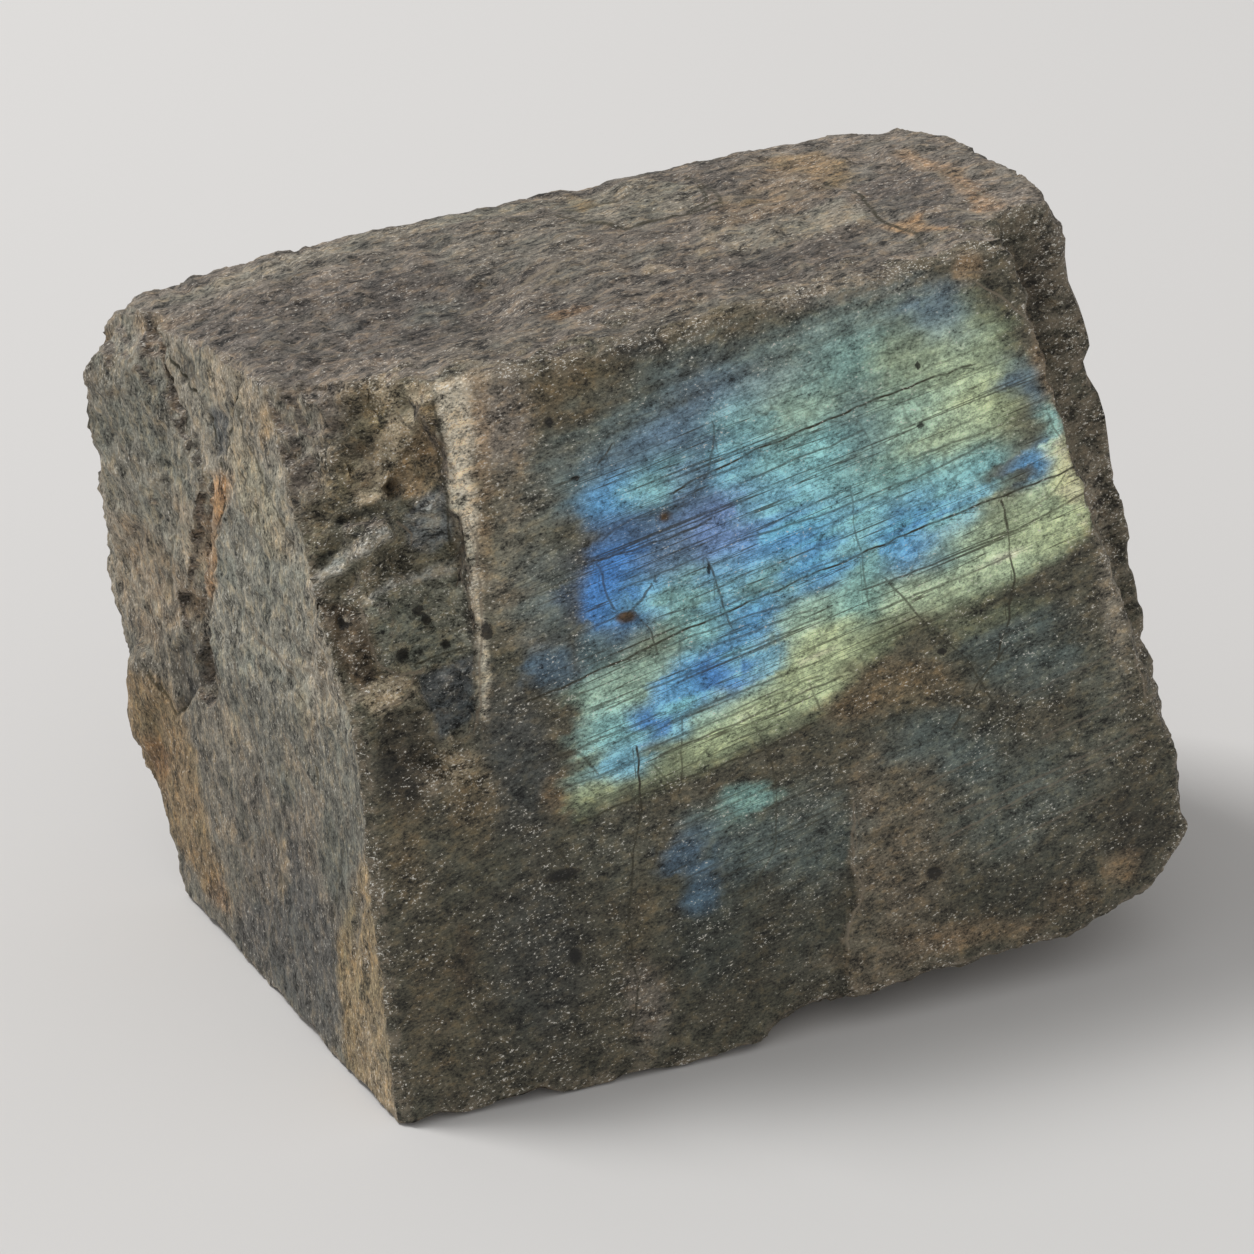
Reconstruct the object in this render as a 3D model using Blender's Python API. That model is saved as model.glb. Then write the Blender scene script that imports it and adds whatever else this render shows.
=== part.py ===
"""Rough labradorite chunk, one natural stone grown as a single solid.

Metres, +Z up, X along the longest side. The broad cleavage face that carries the colour play
looks towards -Y and leans back. The stone rests on a flat break at z = 0. Sizes below are in mm
from the stone's front left foot; the finished stone is moved so that its foot is the origin.
"""

import math

import bmesh
import bpy
from mathutils import Matrix, Vector

STONE_NAME = "labradorite_chunk"
MM = 0.001

# Rough block before it is split
BLOCK_SIZE = (130.0, 90.0, 100.0)
BLOCK_MIDDLE = (37.0, 36.0, 40.0)

# Cleavage face: leans back from the vertical, starting at the front left foot
FRONT_LEAN = math.radians(16.0)
FRONT_START = (0.0, 0.0, 0.4)

# Left break: x at the foot, and how x changes for each mm back and each mm up
LEFT_START = 0.2
LEFT_PER_BACK = -0.228
LEFT_PER_UP = 0.066

# Plain breaks that bound the block, each a point and an outward direction
BREAKS = {
    "front cleavage": (FRONT_START, (0.0, -math.cos(FRONT_LEAN), math.sin(FRONT_LEAN))),
    "left face": ((LEFT_START, 0.0, 0.0), (-1.0, LEFT_PER_BACK, LEFT_PER_UP)),
    "top face": ((0.0, 20.0, 65.9), (-0.115, 0.012, 1.0)),
    "top left dip": ((-8.0, 50.5, 63.5), (-0.204, 0.078, 0.976)),
    "front top fringe": ((30.0, 20.2, 68.6), (-0.06, -0.70, 0.70)),
    "front corner facet": ((1.2, 11.0, 38.7), (-0.558, -0.709, 0.429)),
    "right face upper": ((83.3, 30.0, 42.0), (1.0, -0.01, 0.145)),
    "right face lower": ((85.5, 5.0, 18.0), (1.0, 0.04, 0.09)),
    "right lower corner": ((86.0, 5.0, 12.8), (0.80, -0.12, -0.60)),
    "right under": ((76.5, 2.0, 5.6), (0.34, -0.12, -0.93)),
    "right top front corner": ((77.6, 27.0, 73.0), (0.88, -0.30, 0.37)),
    "right top edge": ((78.4, 42.0, 74.0), (0.72, 0.03, 0.69)),
    "back face": ((20.0, 64.6, 50.0), (0.035, 1.0, -0.02)),
    "back top roll": ((10.0, 59.0, 66.9), (-0.100, 0.28, 0.95)),
    "back top edge": ((10.0, 62.9, 65.8), (-0.045, 0.80, 0.60)),
    "rear left top corner": ((-11.2, 57.4, 63.0), (-0.50, 0.42, 0.76)),
    "back right corner": ((79.8, 54.0, 60.0), (0.74, 0.67, 0.06)),
    "back under": ((-9.5, 47.6, 0.0), (0.08, 0.86, -0.50)),
    "back right under": ((80.0, 46.0, 8.0), (0.45, 0.52, -0.73)),
}

# Flakes that stand out from the left break: corners as back, up, depth into the stone
LEFT_FLAKES = {
    "rear flake": [
        (44.0, 62.0, 1.0),
        (42.0, 50.0, 1.0),
        (45.0, 34.0, 1.0),
        (60.0, 62.0, 1.5),
        (61.0, 30.0, 1.5),
        (50.0, 59.5, -1.2),
        (57.0, 59.0, -3.0),
        (61.0, 57.0, -4.8),
        (61.5, 49.0, -3.6),
        (60.5, 38.0, -1.0),
        (60.0, 24.0, 0.5),
    ],
    "ochre bulge": [
        (44.0, 27.0, 1.0),
        (46.0, 8.0, 1.0),
        (60.0, 33.0, 1.0),
        (59.0, 12.0, 1.0),
        (54.5, 25.0, -2.4),
        (57.5, 20.0, -2.2),
        (53.0, 12.0, -1.2),
    ],
}

# Pieces broken off the cleavage face: corners as right, up the slope, depth into the stone
FRONT_LOSSES = {
    "recess beside the ridge": [
        (-6.0, 41.0, -3.0),
        (12.0, 31.0, -3.0),
        (13.6, 40.0, -3.0),
        (12.2, 66.0, -3.0),
        (-6.0, 66.0, -3.0),
        (-6.0, 41.0, 0.4),
        (12.6, 32.5, 0.0),
        (12.7, 42.0, 1.4),
        (11.6, 54.0, 2.2),
        (11.3, 66.0, 1.4),
        (-6.0, 62.0, 3.0),
    ],
    "upper floor of the recess": [
        (-8.0, 51.0, -2.0),
        (10.5, 59.5, -2.0),
        (10.8, 78.0, -2.0),
        (-8.0, 80.0, -2.0),
        (-8.0, 52.5, 8.4),
        (9.6, 60.5, 2.6),
        (9.8, 78.0, 3.0),
        (-8.0, 78.0, 15.0),
    ],
    "pit under the ledge": [
        (2.0, 44.0, 0.0),
        (5.0, 45.0, 0.0),
        (4.6, 50.5, 0.0),
        (1.2, 50.0, 0.0),
        (3.2, 46.0, 2.6),
        (3.0, 49.0, 4.0),
    ],
    "pit below the recess": [
        (5.2, 26.0, -2.0),
        (8.6, 27.0, -2.0),
        (9.6, 36.0, -2.0),
        (6.0, 37.5, -2.0),
        (6.8, 29.0, 0.9),
        (7.6, 34.5, 1.4),
    ],
    "low step": [
        (20.0, -4.0, -3.0),
        (46.0, -4.0, -3.0),
        (48.4, 25.0, -3.0),
        (20.0, 25.0, -3.0),
        (20.0, -4.0, 0.0),
        (45.8, -4.0, 0.7),
        (48.0, 17.0, 0.7),
        (48.2, 26.0, 0.0),
        (20.0, 25.0, -0.2),
    ],
    "right slab edge": [
        (68.2, 80.0, -4.0),
        (74.6, 58.0, -4.0),
        (79.2, 38.5, -4.0),
        (84.9, 19.0, -4.0),
        (99.0, 19.0, -4.0),
        (99.0, 80.0, -4.0),
        (70.0, 80.0, 5.4),
        (76.0, 58.0, 5.0),
        (80.4, 38.5, 3.6),
        (84.9, 20.0, 0.0),
        (99.0, 19.0, 0.0),
        (99.0, 80.0, 5.4),
    ],
    "notch in the rear layer": [
        (79.2, 63.0, 2.0),
        (80.4, 59.0, 2.0),
        (92.0, 65.0, 2.0),
        (92.0, 60.0, 2.0),
        (80.0, 62.5, 12.0),
        (81.0, 60.5, 12.0),
        (92.0, 65.0, 14.0),
        (92.0, 60.0, 14.0),
    ],
}

# Pieces broken off the left face: corners as back, up, depth into the stone
LEFT_LOSSES = {
    "main crack upper": [
        (61.5, 67.0, -6.0),
        (56.6, 67.0, -6.0),
        (43.0, 49.5, -6.0),
        (39.4, 49.5, -6.0),
        (60.4, 67.0, 0.8),
        (57.4, 67.0, 3.2),
        (42.0, 49.5, 0.8),
        (40.0, 49.5, 2.8),
    ],
    "main crack lower": [
        (42.6, 51.0, -6.0),
        (39.4, 51.0, -6.0),
        (47.6, 33.0, -6.0),
        (43.2, 33.0, -6.0),
        (41.8, 51.0, 0.8),
        (40.0, 51.0, 2.4),
        (46.8, 33.0, 0.9),
        (43.8, 33.0, 2.6),
    ],
    "pit below the crack": [
        (50.0, 37.0, -6.0),
        (43.2, 37.0, -6.0),
        (39.2, 24.0, -6.0),
        (43.4, 24.0, -6.0),
        (48.0, 35.5, 1.2),
        (44.4, 35.5, 3.4),
        (40.4, 26.0, 2.2),
        (42.6, 26.0, 1.6),
    ],
    "rear edge groove": [
        (61.0, 61.0, -9.0),
        (58.6, 61.0, -9.0),
        (56.6, 44.0, -9.0),
        (58.6, 44.0, -9.0),
        (60.4, 60.0, -3.4),
        (59.2, 60.0, -2.6),
        (57.4, 46.0, -2.2),
        (58.2, 46.0, -2.6),
    ],
}

# Other pieces broken off: corners as x, y, z
PLAIN_LOSSES = {
    "bottom edge undercut": [
        (30.0, -6.0, -6.0),
        (40.0, -6.0, 3.0),
        (66.0, -6.0, 4.4),
        (96.0, -6.0, 7.0),
        (96.0, -6.0, -6.0),
        (40.4, 1.0, 2.6),
        (66.0, 1.3, 3.8),
        (90.0, 2.0, 5.4),
        (41.0, 8.0, 0.0),
        (62.0, 11.0, 0.0),
        (92.0, 14.0, 0.0),
        (42.0, 8.0, -6.0),
        (92.0, 14.0, -6.0),
    ],
    "top rear step": [
        (30.0, 45.0, 80.0),
        (92.0, 38.0, 80.0),
        (92.0, 80.0, 80.0),
        (30.0, 80.0, 80.0),
        (32.0, 46.0, 69.3),
        (60.0, 43.0, 72.0),
        (92.0, 40.0, 74.6),
        (92.0, 80.0, 73.0),
        (30.0, 80.0, 67.6),
    ],
    "top left hollow": [
        (-2.0, 30.0, 80.0),
        (26.0, 24.0, 80.0),
        (30.0, 44.0, 80.0),
        (0.0, 52.0, 80.0),
        (2.0, 34.0, 65.5),
        (22.0, 29.0, 67.3),
        (25.0, 41.0, 67.9),
        (4.0, 47.0, 65.7),
    ],
}

# Broken surface: name, size and height of the relief, noise and the share kept on calm faces
SWELL = ("swell", 19.0, 2.0, "ORIGINAL_PERLIN")
CHIPS = ("chips", 7.0, 1.1, "VORONOI_F2_F1")
GRAIN = ("grain", 2.6, 0.7, "ORIGINAL_PERLIN")
FRONT_CALM = {"swell": 0.35, "chips": 0.22, "grain": 0.22}
LEFT_CALM = {"swell": 0.70, "chips": 0.40, "grain": 0.40}
CALM_REACH = 1.0

# Worn edges and the finished facets
VOXEL = 0.85
WEAR_PASSES = 3
FACET_TARGET = 6800
BASE_SNAP = 0.22
WELD = 0.05

# Plain look of the stone
STONE_COLOUR = (0.085, 0.085, 0.07, 1.0)
STONE_ROUGHNESS = 0.55


def on_front(right, slope, depth):
    """Place on the cleavage face."""
    sin = math.sin(FRONT_LEAN)
    cos = math.cos(FRONT_LEAN)
    x, y, z = FRONT_START
    return Vector((x + right, y + slope * sin + depth * cos, z + slope * cos - depth * sin))


def on_left(back, up, depth):
    """Place on the left break."""
    x = LEFT_START + LEFT_PER_BACK * back + LEFT_PER_UP * up + depth
    return Vector((x, back, up))


def clear_scene():
    for obj in list(bpy.data.objects):
        bpy.data.objects.remove(obj, do_unlink=True)


def object_from(shape, name):
    mesh = bpy.data.meshes.new(name)
    shape.to_mesh(mesh)
    shape.free()
    obj = bpy.data.objects.new(name, mesh)
    bpy.context.scene.collection.objects.link(obj)
    return obj


def split(shape, point, outward):
    """Splits a shape along a plane, drops the outer part and closes the cut."""
    cut = bmesh.ops.bisect_plane(
        shape,
        geom=shape.verts[:] + shape.edges[:] + shape.faces[:],
        plane_co=Vector(point) * MM,
        plane_no=Vector(outward).normalized(),
        clear_outer=True,
    )
    rim = [part for part in cut["geom_cut"] if isinstance(part, bmesh.types.BMEdge)]
    if rim:
        bmesh.ops.holes_fill(shape, edges=rim)


def split_block():
    """The block between its plain breaks."""
    shape = bmesh.new()
    stretch = Matrix.Diagonal((*(side * MM for side in BLOCK_SIZE), 1.0))
    place = Matrix.Translation(Vector(BLOCK_MIDDLE) * MM)
    bmesh.ops.create_cube(shape, size=1.0, matrix=place @ stretch)
    for point, outward in BREAKS.values():
        split(shape, point, outward)
    bmesh.ops.recalc_face_normals(shape, faces=shape.faces[:])
    return object_from(shape, STONE_NAME)


def hull(name, corners):
    """Convex piece spanned by its corners, a guide for what breaks off or stands out."""
    shape = bmesh.new()
    for corner in corners:
        shape.verts.new(Vector(corner) * MM)
    made = bmesh.ops.convex_hull(shape, input=shape.verts[:])
    inner = [part for part in made["geom_interior"] if isinstance(part, bmesh.types.BMVert)]
    bmesh.ops.delete(shape, geom=inner, context="VERTS")
    bmesh.ops.recalc_face_normals(shape, faces=shape.faces[:])
    piece = object_from(shape, name)
    piece.hide_render = True
    piece.display_type = "WIRE"
    return piece


def combine(stone, pieces, place, operation):
    """Adds or breaks off each named piece, its corners put in place by the given rule."""
    for name, corners in pieces.items():
        step = stone.modifiers.new(name, "BOOLEAN")
        step.object = hull(name, [place(*corner) for corner in corners])
        step.operation = operation
        step.solver = "EXACT"


def wear(stone):
    """Evens out the surface and rounds the broken edges a little."""
    grid = stone.modifiers.new("even grid", "REMESH")
    grid.mode = "VOXEL"
    grid.voxel_size = VOXEL * MM
    worn = stone.modifiers.new("worn edges", "SMOOTH")
    worn.factor = 0.5
    worn.iterations = WEAR_PASSES


def bake(stone):
    """Keeps the evaluated shape in place of the modifiers."""
    graph = bpy.context.evaluated_depsgraph_get()
    mesh = bpy.data.meshes.new_from_object(stone.evaluated_get(graph))
    old = stone.data
    stone.modifiers.clear()
    stone.data = mesh
    bpy.data.meshes.remove(old)
    mesh.name = STONE_NAME


def relief_group(stone, name):
    """Weights that calm a relief on the cleavage face and on the left break."""
    group = stone.vertex_groups.new(name=name)
    sin = math.sin(FRONT_LEAN)
    cos = math.cos(FRONT_LEAN)
    for vertex in stone.data.vertices:
        x, y, z = vertex.co / MM
        front_gap = y * cos - (z - FRONT_START[2]) * sin
        left_gap = x - on_left(y, z, 0.0).x
        weight = 1.0
        if abs(front_gap) < CALM_REACH:
            weight = FRONT_CALM[name]
        elif abs(left_gap) < CALM_REACH:
            weight = LEFT_CALM[name]
        group.add([vertex.index], weight, "REPLACE")


def relief(stone, name, size, height, noise):
    """Pushes the surface in and out by a cloud of the given size and height."""
    relief_group(stone, name)
    texture = bpy.data.textures.new(name, "CLOUDS")
    texture.noise_scale = size * MM
    texture.noise_depth = 1
    texture.noise_basis = noise
    step = stone.modifiers.new(name, "DISPLACE")
    step.texture = texture
    step.texture_coords = "LOCAL"
    step.direction = "NORMAL"
    step.mid_level = 0.5
    step.strength = height * MM
    step.vertex_group = name


def flat_base(stone):
    """Planar break that the stone rests on."""
    shape = bmesh.new()
    shape.from_mesh(stone.data)
    split(shape, (0.0, 0.0, 0.0), (0.0, 0.0, -1.0))
    bmesh.ops.triangulate(shape, faces=shape.faces[:])
    shape.to_mesh(stone.data)
    shape.free()


def facet(stone):
    """Merges the fine surface into the larger facets of the finished solid."""
    step = stone.modifiers.new("facets", "DECIMATE")
    step.decimate_type = "COLLAPSE"
    step.ratio = FACET_TARGET / len(stone.data.polygons)


def settle(stone):
    """Levels the base, welds slivers and moves the middle of the foot to the origin."""
    shape = bmesh.new()
    shape.from_mesh(stone.data)
    for vertex in shape.verts:
        if vertex.co.z < BASE_SNAP * MM:
            vertex.co.z = 0.0
    bmesh.ops.remove_doubles(shape, verts=shape.verts[:], dist=WELD * MM)
    bmesh.ops.dissolve_degenerate(shape, edges=shape.edges[:], dist=WELD * MM)
    bmesh.ops.triangulate(shape, faces=shape.faces[:])
    bmesh.ops.recalc_face_normals(shape, faces=shape.faces[:])
    low = Vector(min(vertex.co[axis] for vertex in shape.verts) for axis in range(3))
    high = Vector(max(vertex.co[axis] for vertex in shape.verts) for axis in range(3))
    foot = Vector(((low.x + high.x) / 2, (low.y + high.y) / 2, low.z))
    bmesh.ops.translate(shape, verts=shape.verts[:], vec=-foot)
    shape.to_mesh(stone.data)
    shape.free()
    print("foot of the stone, mm:", [round(value / MM, 2) for value in foot])


def stone_material():
    material = bpy.data.materials.new("grey green labradorite")
    material.use_nodes = True
    shader = material.node_tree.nodes["Principled BSDF"]
    shader.inputs["Base Color"].default_value = STONE_COLOUR
    shader.inputs["Roughness"].default_value = STONE_ROUGHNESS
    shader.inputs["Metallic"].default_value = 0.0
    return material


def main():
    clear_scene()
    stone = split_block()
    combine(stone, LEFT_FLAKES, on_left, "UNION")
    combine(stone, FRONT_LOSSES, on_front, "DIFFERENCE")
    combine(stone, LEFT_LOSSES, on_left, "DIFFERENCE")
    combine(stone, PLAIN_LOSSES, lambda x, y, z: (x, y, z), "DIFFERENCE")
    wear(stone)
    bake(stone)
    for cloud in (SWELL, CHIPS, GRAIN):
        relief(stone, *cloud)
    bake(stone)
    flat_base(stone)
    facet(stone)
    bake(stone)
    settle(stone)
    stone.data.materials.clear()
    stone.data.materials.append(stone_material())


main()
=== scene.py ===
"""Looks of the rough labradorite chunk: its broken surface, its colour play and a plain stage."""

import itertools
import math

import bpy
import numpy as np
from bpy.props import FloatProperty, FloatVectorProperty, IntProperty, PointerProperty
from mathutils import Euler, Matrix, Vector


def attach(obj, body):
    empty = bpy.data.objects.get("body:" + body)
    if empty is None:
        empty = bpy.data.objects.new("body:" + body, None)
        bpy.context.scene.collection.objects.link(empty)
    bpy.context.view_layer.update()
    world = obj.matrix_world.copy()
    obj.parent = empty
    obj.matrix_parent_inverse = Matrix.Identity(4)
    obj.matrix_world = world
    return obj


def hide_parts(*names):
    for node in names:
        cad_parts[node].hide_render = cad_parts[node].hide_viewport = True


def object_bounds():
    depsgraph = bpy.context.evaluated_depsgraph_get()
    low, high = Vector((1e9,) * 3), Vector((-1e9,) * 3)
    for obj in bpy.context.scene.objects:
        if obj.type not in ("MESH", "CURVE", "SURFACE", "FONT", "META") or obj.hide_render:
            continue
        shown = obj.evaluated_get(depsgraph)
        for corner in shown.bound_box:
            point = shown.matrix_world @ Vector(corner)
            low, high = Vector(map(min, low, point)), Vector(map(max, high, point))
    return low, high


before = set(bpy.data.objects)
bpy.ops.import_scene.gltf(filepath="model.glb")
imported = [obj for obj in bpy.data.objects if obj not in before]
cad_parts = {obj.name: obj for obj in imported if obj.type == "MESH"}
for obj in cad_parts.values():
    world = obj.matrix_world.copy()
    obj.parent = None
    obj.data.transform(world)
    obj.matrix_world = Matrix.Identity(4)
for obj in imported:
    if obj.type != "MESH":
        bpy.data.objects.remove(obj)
CAD_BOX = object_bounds()

bl_info = {
    "name": "Rough labradorite chunk",
    "version": (1, 0, 0),
    "blender": (4, 5, 0),
    "location": "View3D > Sidebar > Labradorite",
    "description": "Builds the stone's broken surface, its colour play and a plain stage",
    "category": "Object",
}

NODE = "labradorite_chunk"
BODY = "root"
MM = 0.001

# The stone's front left foot in the frame is at minus this place, in mm
FOOT = np.array((35.54, 32.87, 0.0))

# Cleavage face: leans back from the vertical, starting at this height over the foot
FRONT_LEAN = math.radians(16.0)
FRONT_RISE = 0.4

# Left break: x at the foot, and how x changes for each mm back and each mm up
LEFT_START = 0.2
LEFT_PER_BACK = -0.228
LEFT_PER_UP = 0.066

# Top break: height over x = 0, y = 20, and how it changes for each mm right and back
TOP_RISE = 65.9
TOP_PER_RIGHT = 0.115
TOP_PER_BACK = -0.012

# Lamellae cross the cleavage face at this slope, fibres lean back on the left face
LAMELLA_SLOPE = math.radians(13.0)
FIBRE_LEAN = math.radians(18.0)
TOP_FIBRE_TURN = math.radians(9.0)

# Colour play of the lamellae, a directional sheen painted here as fixed colour, as it looks in soft light
FLASH = {
    "deep blue": (62, 110, 166),
    "blue": (84, 140, 184),
    "sky": (110, 160, 180),
    "periwinkle": (98, 122, 162),
    "slate blue": (84, 106, 126),
    "dark blue": (70, 90, 112),
    "dim blue": (62, 90, 112),
    "cyan": (118, 164, 166),
    "pale cyan": (136, 176, 170),
    "teal": (112, 150, 144),
    "grey teal": (112, 128, 124),
    "dim teal": (82, 98, 98),
    "sea green": (134, 160, 144),
    "pale green": (156, 172, 142),
    "yellow green": (156, 168, 132),
    "straw": (186, 188, 144),
    "dim green": (108, 116, 92),
    "olive": (90, 90, 74),
    "brown olive": (82, 76, 60),
}

# Patches of the painted sheen of the play: middle as right, up the slope, half length, half width, colour
FLASH_PATCHES = (
    (41.0, 70.4, 8.0, 2.2, "dim teal"), (54.0, 71.0, 4.5, 2.2, "grey teal"),
    (62.2, 70.0, 2.2, 2.4, "slate blue"), (66.4, 71.0, 2.0, 2.2, "dim green"),
    (27.5, 64.0, 5.0, 2.6, "dim teal"), (37.3, 65.6, 3.0, 2.2, "slate blue"),
    (45.5, 66.2, 5.0, 2.3, "grey teal"), (51.8, 66.6, 3.2, 1.8, "teal"),
    (57.5, 66.4, 2.6, 2.2, "dim green"), (63.8, 64.6, 3.0, 2.9, "pale green"),
    (68.8, 66.0, 1.6, 2.0, "dim green"), (32.5, 61.5, 4.6, 1.8, "slate blue"),
    (40.4, 61.8, 2.2, 1.6, "cyan"), (46.6, 62.2, 3.4, 1.4, "sea green"),
    (52.7, 60.6, 1.8, 3.0, "dim teal"), (57.6, 60.6, 2.8, 2.6, "sea green"),
    (66.6, 60.4, 1.6, 2.2, "yellow green"), (69.7, 62.4, 1.2, 1.8, "slate blue"),
    (22.2, 58.2, 2.6, 1.8, "dim teal"), (27.2, 57.2, 2.2, 1.2, "blue"), (31.6, 57.6, 2.2, 1.5, "cyan"),
    (35.2, 57.4, 1.6, 1.6, "slate blue"), (39.8, 58.2, 2.0, 1.6, "sky"), (47.0, 58.2, 4.0, 1.5, "cyan"),
    (62.6, 57.6, 2.8, 1.5, "pale green"), (69.0, 58.0, 1.2, 2.6, "brown olive"),
    (73.0, 57.6, 1.2, 1.4, "pale cyan"), (21.8, 53.6, 1.6, 2.0, "olive"),
    (30.2, 54.3, 4.4, 1.1, "dark blue"), (37.2, 52.4, 2.8, 2.6, "periwinkle"),
    (43.8, 54.2, 2.8, 1.6, "sky"), (50.0, 54.6, 2.4, 1.4, "cyan"), (55.6, 54.4, 2.4, 1.4, "teal"),
    (62.4, 54.2, 3.4, 1.4, "cyan"), (68.2, 53.6, 1.0, 2.4, "brown olive"),
    (71.0, 53.6, 1.5, 1.0, "blue"), (75.0, 52.4, 1.4, 2.6, "straw"), (20.4, 48.0, 1.7, 3.4, "dim teal"),
    (26.4, 48.4, 2.4, 3.0, "deep blue"), (32.6, 50.6, 2.0, 1.6, "slate blue"),
    (44.5, 50.6, 4.6, 1.5, "blue"), (52.2, 50.4, 1.8, 1.4, "cyan"), (57.2, 48.6, 2.6, 2.4, "blue"),
    (62.8, 50.8, 2.2, 1.4, "sky"), (67.2, 49.6, 1.0, 2.0, "dim green"),
    (71.6, 50.0, 2.2, 1.4, "pale green"), (29.2, 46.6, 1.6, 1.4, "sky"), (33.4, 46.8, 2.2, 1.4, "teal"),
    (37.6, 47.0, 2.0, 1.4, "sky"), (42.2, 46.8, 2.0, 1.4, "teal"), (46.8, 47.0, 2.4, 1.4, "blue"),
    (52.0, 46.6, 1.8, 1.4, "teal"), (60.6, 46.6, 1.8, 1.5, "sea green"),
    (65.0, 47.2, 2.6, 1.7, "pale green"), (70.4, 47.0, 2.2, 1.2, "yellow green"),
    (74.6, 47.6, 1.6, 1.0, "yellow green"), (19.8, 42.0, 1.5, 1.6, "dim blue"),
    (24.2, 42.4, 1.8, 1.4, "dim teal"), (29.6, 42.8, 2.2, 1.2, "dim green"),
    (34.6, 42.6, 2.2, 1.2, "cyan"), (39.6, 42.6, 2.0, 1.6, "blue"), (45.6, 42.8, 2.8, 1.2, "sea green"),
    (51.8, 42.8, 1.8, 1.2, "teal"), (56.0, 43.0, 2.2, 1.4, "pale green"),
    (61.0, 42.8, 2.0, 1.2, "pale green"), (66.6, 44.0, 2.4, 1.0, "pale green"),
    (64.0, 40.6, 4.0, 0.8, "dim green"), (25.4, 38.4, 3.4, 1.4, "sea green"),
    (32.6, 38.2, 1.8, 1.4, "blue"), (36.8, 38.2, 1.5, 1.6, "deep blue"), (39.9, 38.6, 1.4, 1.5, "sky"),
    (46.2, 38.8, 3.6, 1.5, "yellow green"), (53.0, 39.4, 2.2, 1.2, "dim green"),
    (57.8, 40.0, 2.2, 1.0, "brown olive"), (22.0, 34.6, 1.6, 1.4, "pale cyan"),
    (25.6, 34.8, 1.4, 1.4, "cyan"), (28.6, 34.6, 1.1, 1.0, "deep blue"), (32.0, 35.0, 1.6, 1.2, "sky"),
    (35.8, 34.6, 1.6, 1.0, "sea green"), (43.0, 35.0, 4.4, 1.2, "yellow green"),
    (49.8, 35.6, 1.6, 1.0, "brown olive"), (21.2, 31.4, 1.2, 1.2, "sea green"),
    (24.8, 31.4, 1.9, 1.2, "sky"), (29.4, 31.0, 1.8, 1.0, "dim green"),
    (35.4, 31.6, 2.6, 1.0, "yellow green"), (41.4, 32.0, 2.6, 1.0, "dim green"),
    (21.6, 28.4, 1.8, 0.8, "yellow green"), (28.0, 28.4, 4.0, 0.9, "dim green"),
    (32.6, 25.0, 2.0, 1.2, "dim teal"), (37.8, 25.2, 2.2, 1.2, "teal"),
    (31.4, 21.0, 2.0, 1.8, "dim blue"), (36.6, 20.6, 2.0, 1.8, "dim teal"),
    (32.6, 16.8, 1.6, 1.4, "dim blue"), (56.6, 28.2, 3.0, 1.6, "dim teal"),
    (61.6, 24.4, 2.2, 1.6, "dim teal"), (69.2, 33.0, 3.0, 1.6, "dim teal"),
    (44.0, 20.0, 3.0, 3.0, "dim teal"),
)

# Outline of the painted sheen of the colour play: right, up the slope, and how softly it fades out there
FLASH_OUTLINE = (
    (21.4, 28.0, 1.9), (30.0, 28.6, 1.4), (38.0, 30.4, 1.2), (44.4, 32.0, 0.9), (49.4, 35.0, 0.8),
    (53.0, 37.4, 0.9), (58.2, 39.4, 1.0), (64.0, 40.9, 1.0), (70.4, 43.0, 0.9), (77.0, 46.6, 0.7),
    (77.0, 50.4, 0.5), (76.2, 54.4, 0.5), (74.6, 57.8, 0.7), (71.8, 60.6, 0.9), (70.6, 64.0, 1.2),
    (68.8, 68.4, 1.6), (64.6, 71.8, 1.6), (58.0, 72.6, 2.6), (48.0, 71.0, 3.4), (38.0, 68.6, 4.0),
    (29.0, 65.0, 4.0), (21.8, 60.6, 3.2), (20.6, 56.6, 2.2), (24.0, 53.4, 1.2), (23.6, 50.0, 1.0),
    (23.4, 45.6, 1.0), (21.8, 42.4, 1.2), (21.4, 39.6, 1.4), (22.0, 36.6, 1.5), (21.2, 33.4, 1.8),
    (20.8, 30.0, 2.0),
)

# Weaker painted sheen of the play outside the outline: right, up the slope, half sizes, strength
FLASH_ISLES = (
    (19.4, 41.8, 2.4, 2.6, 0.60), (20.4, 49.4, 3.4, 6.0, 0.45), (37.6, 25.2, 3.2, 1.8, 0.75),
    (33.0, 23.6, 3.4, 2.2, 0.55), (31.6, 20.8, 2.8, 2.6, 0.60), (32.6, 16.8, 2.2, 2.2, 0.55),
    (38.0, 20.8, 5.0, 3.4, 0.45), (44.6, 20.6, 5.0, 6.0, 0.32), (56.8, 28.2, 5.0, 2.8, 0.42),
    (61.6, 25.0, 3.6, 3.0, 0.38), (69.4, 32.8, 6.0, 3.0, 0.42), (66.0, 37.6, 8.0, 2.8, 0.35),
    (66.0, 20.0, 9.0, 6.0, 0.20),
)

# Ground where the lamellae show without the play: right, up the slope, half sizes, strength
LINED_PATCHES = (
    (41.0, 20.0, 8.0, 11.0, 0.75), (66.0, 32.0, 12.0, 6.0, 0.60), (68.0, 20.0, 12.0, 9.0, 0.55),
    (52.0, 34.0, 10.0, 3.0, 0.45),
)

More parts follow.
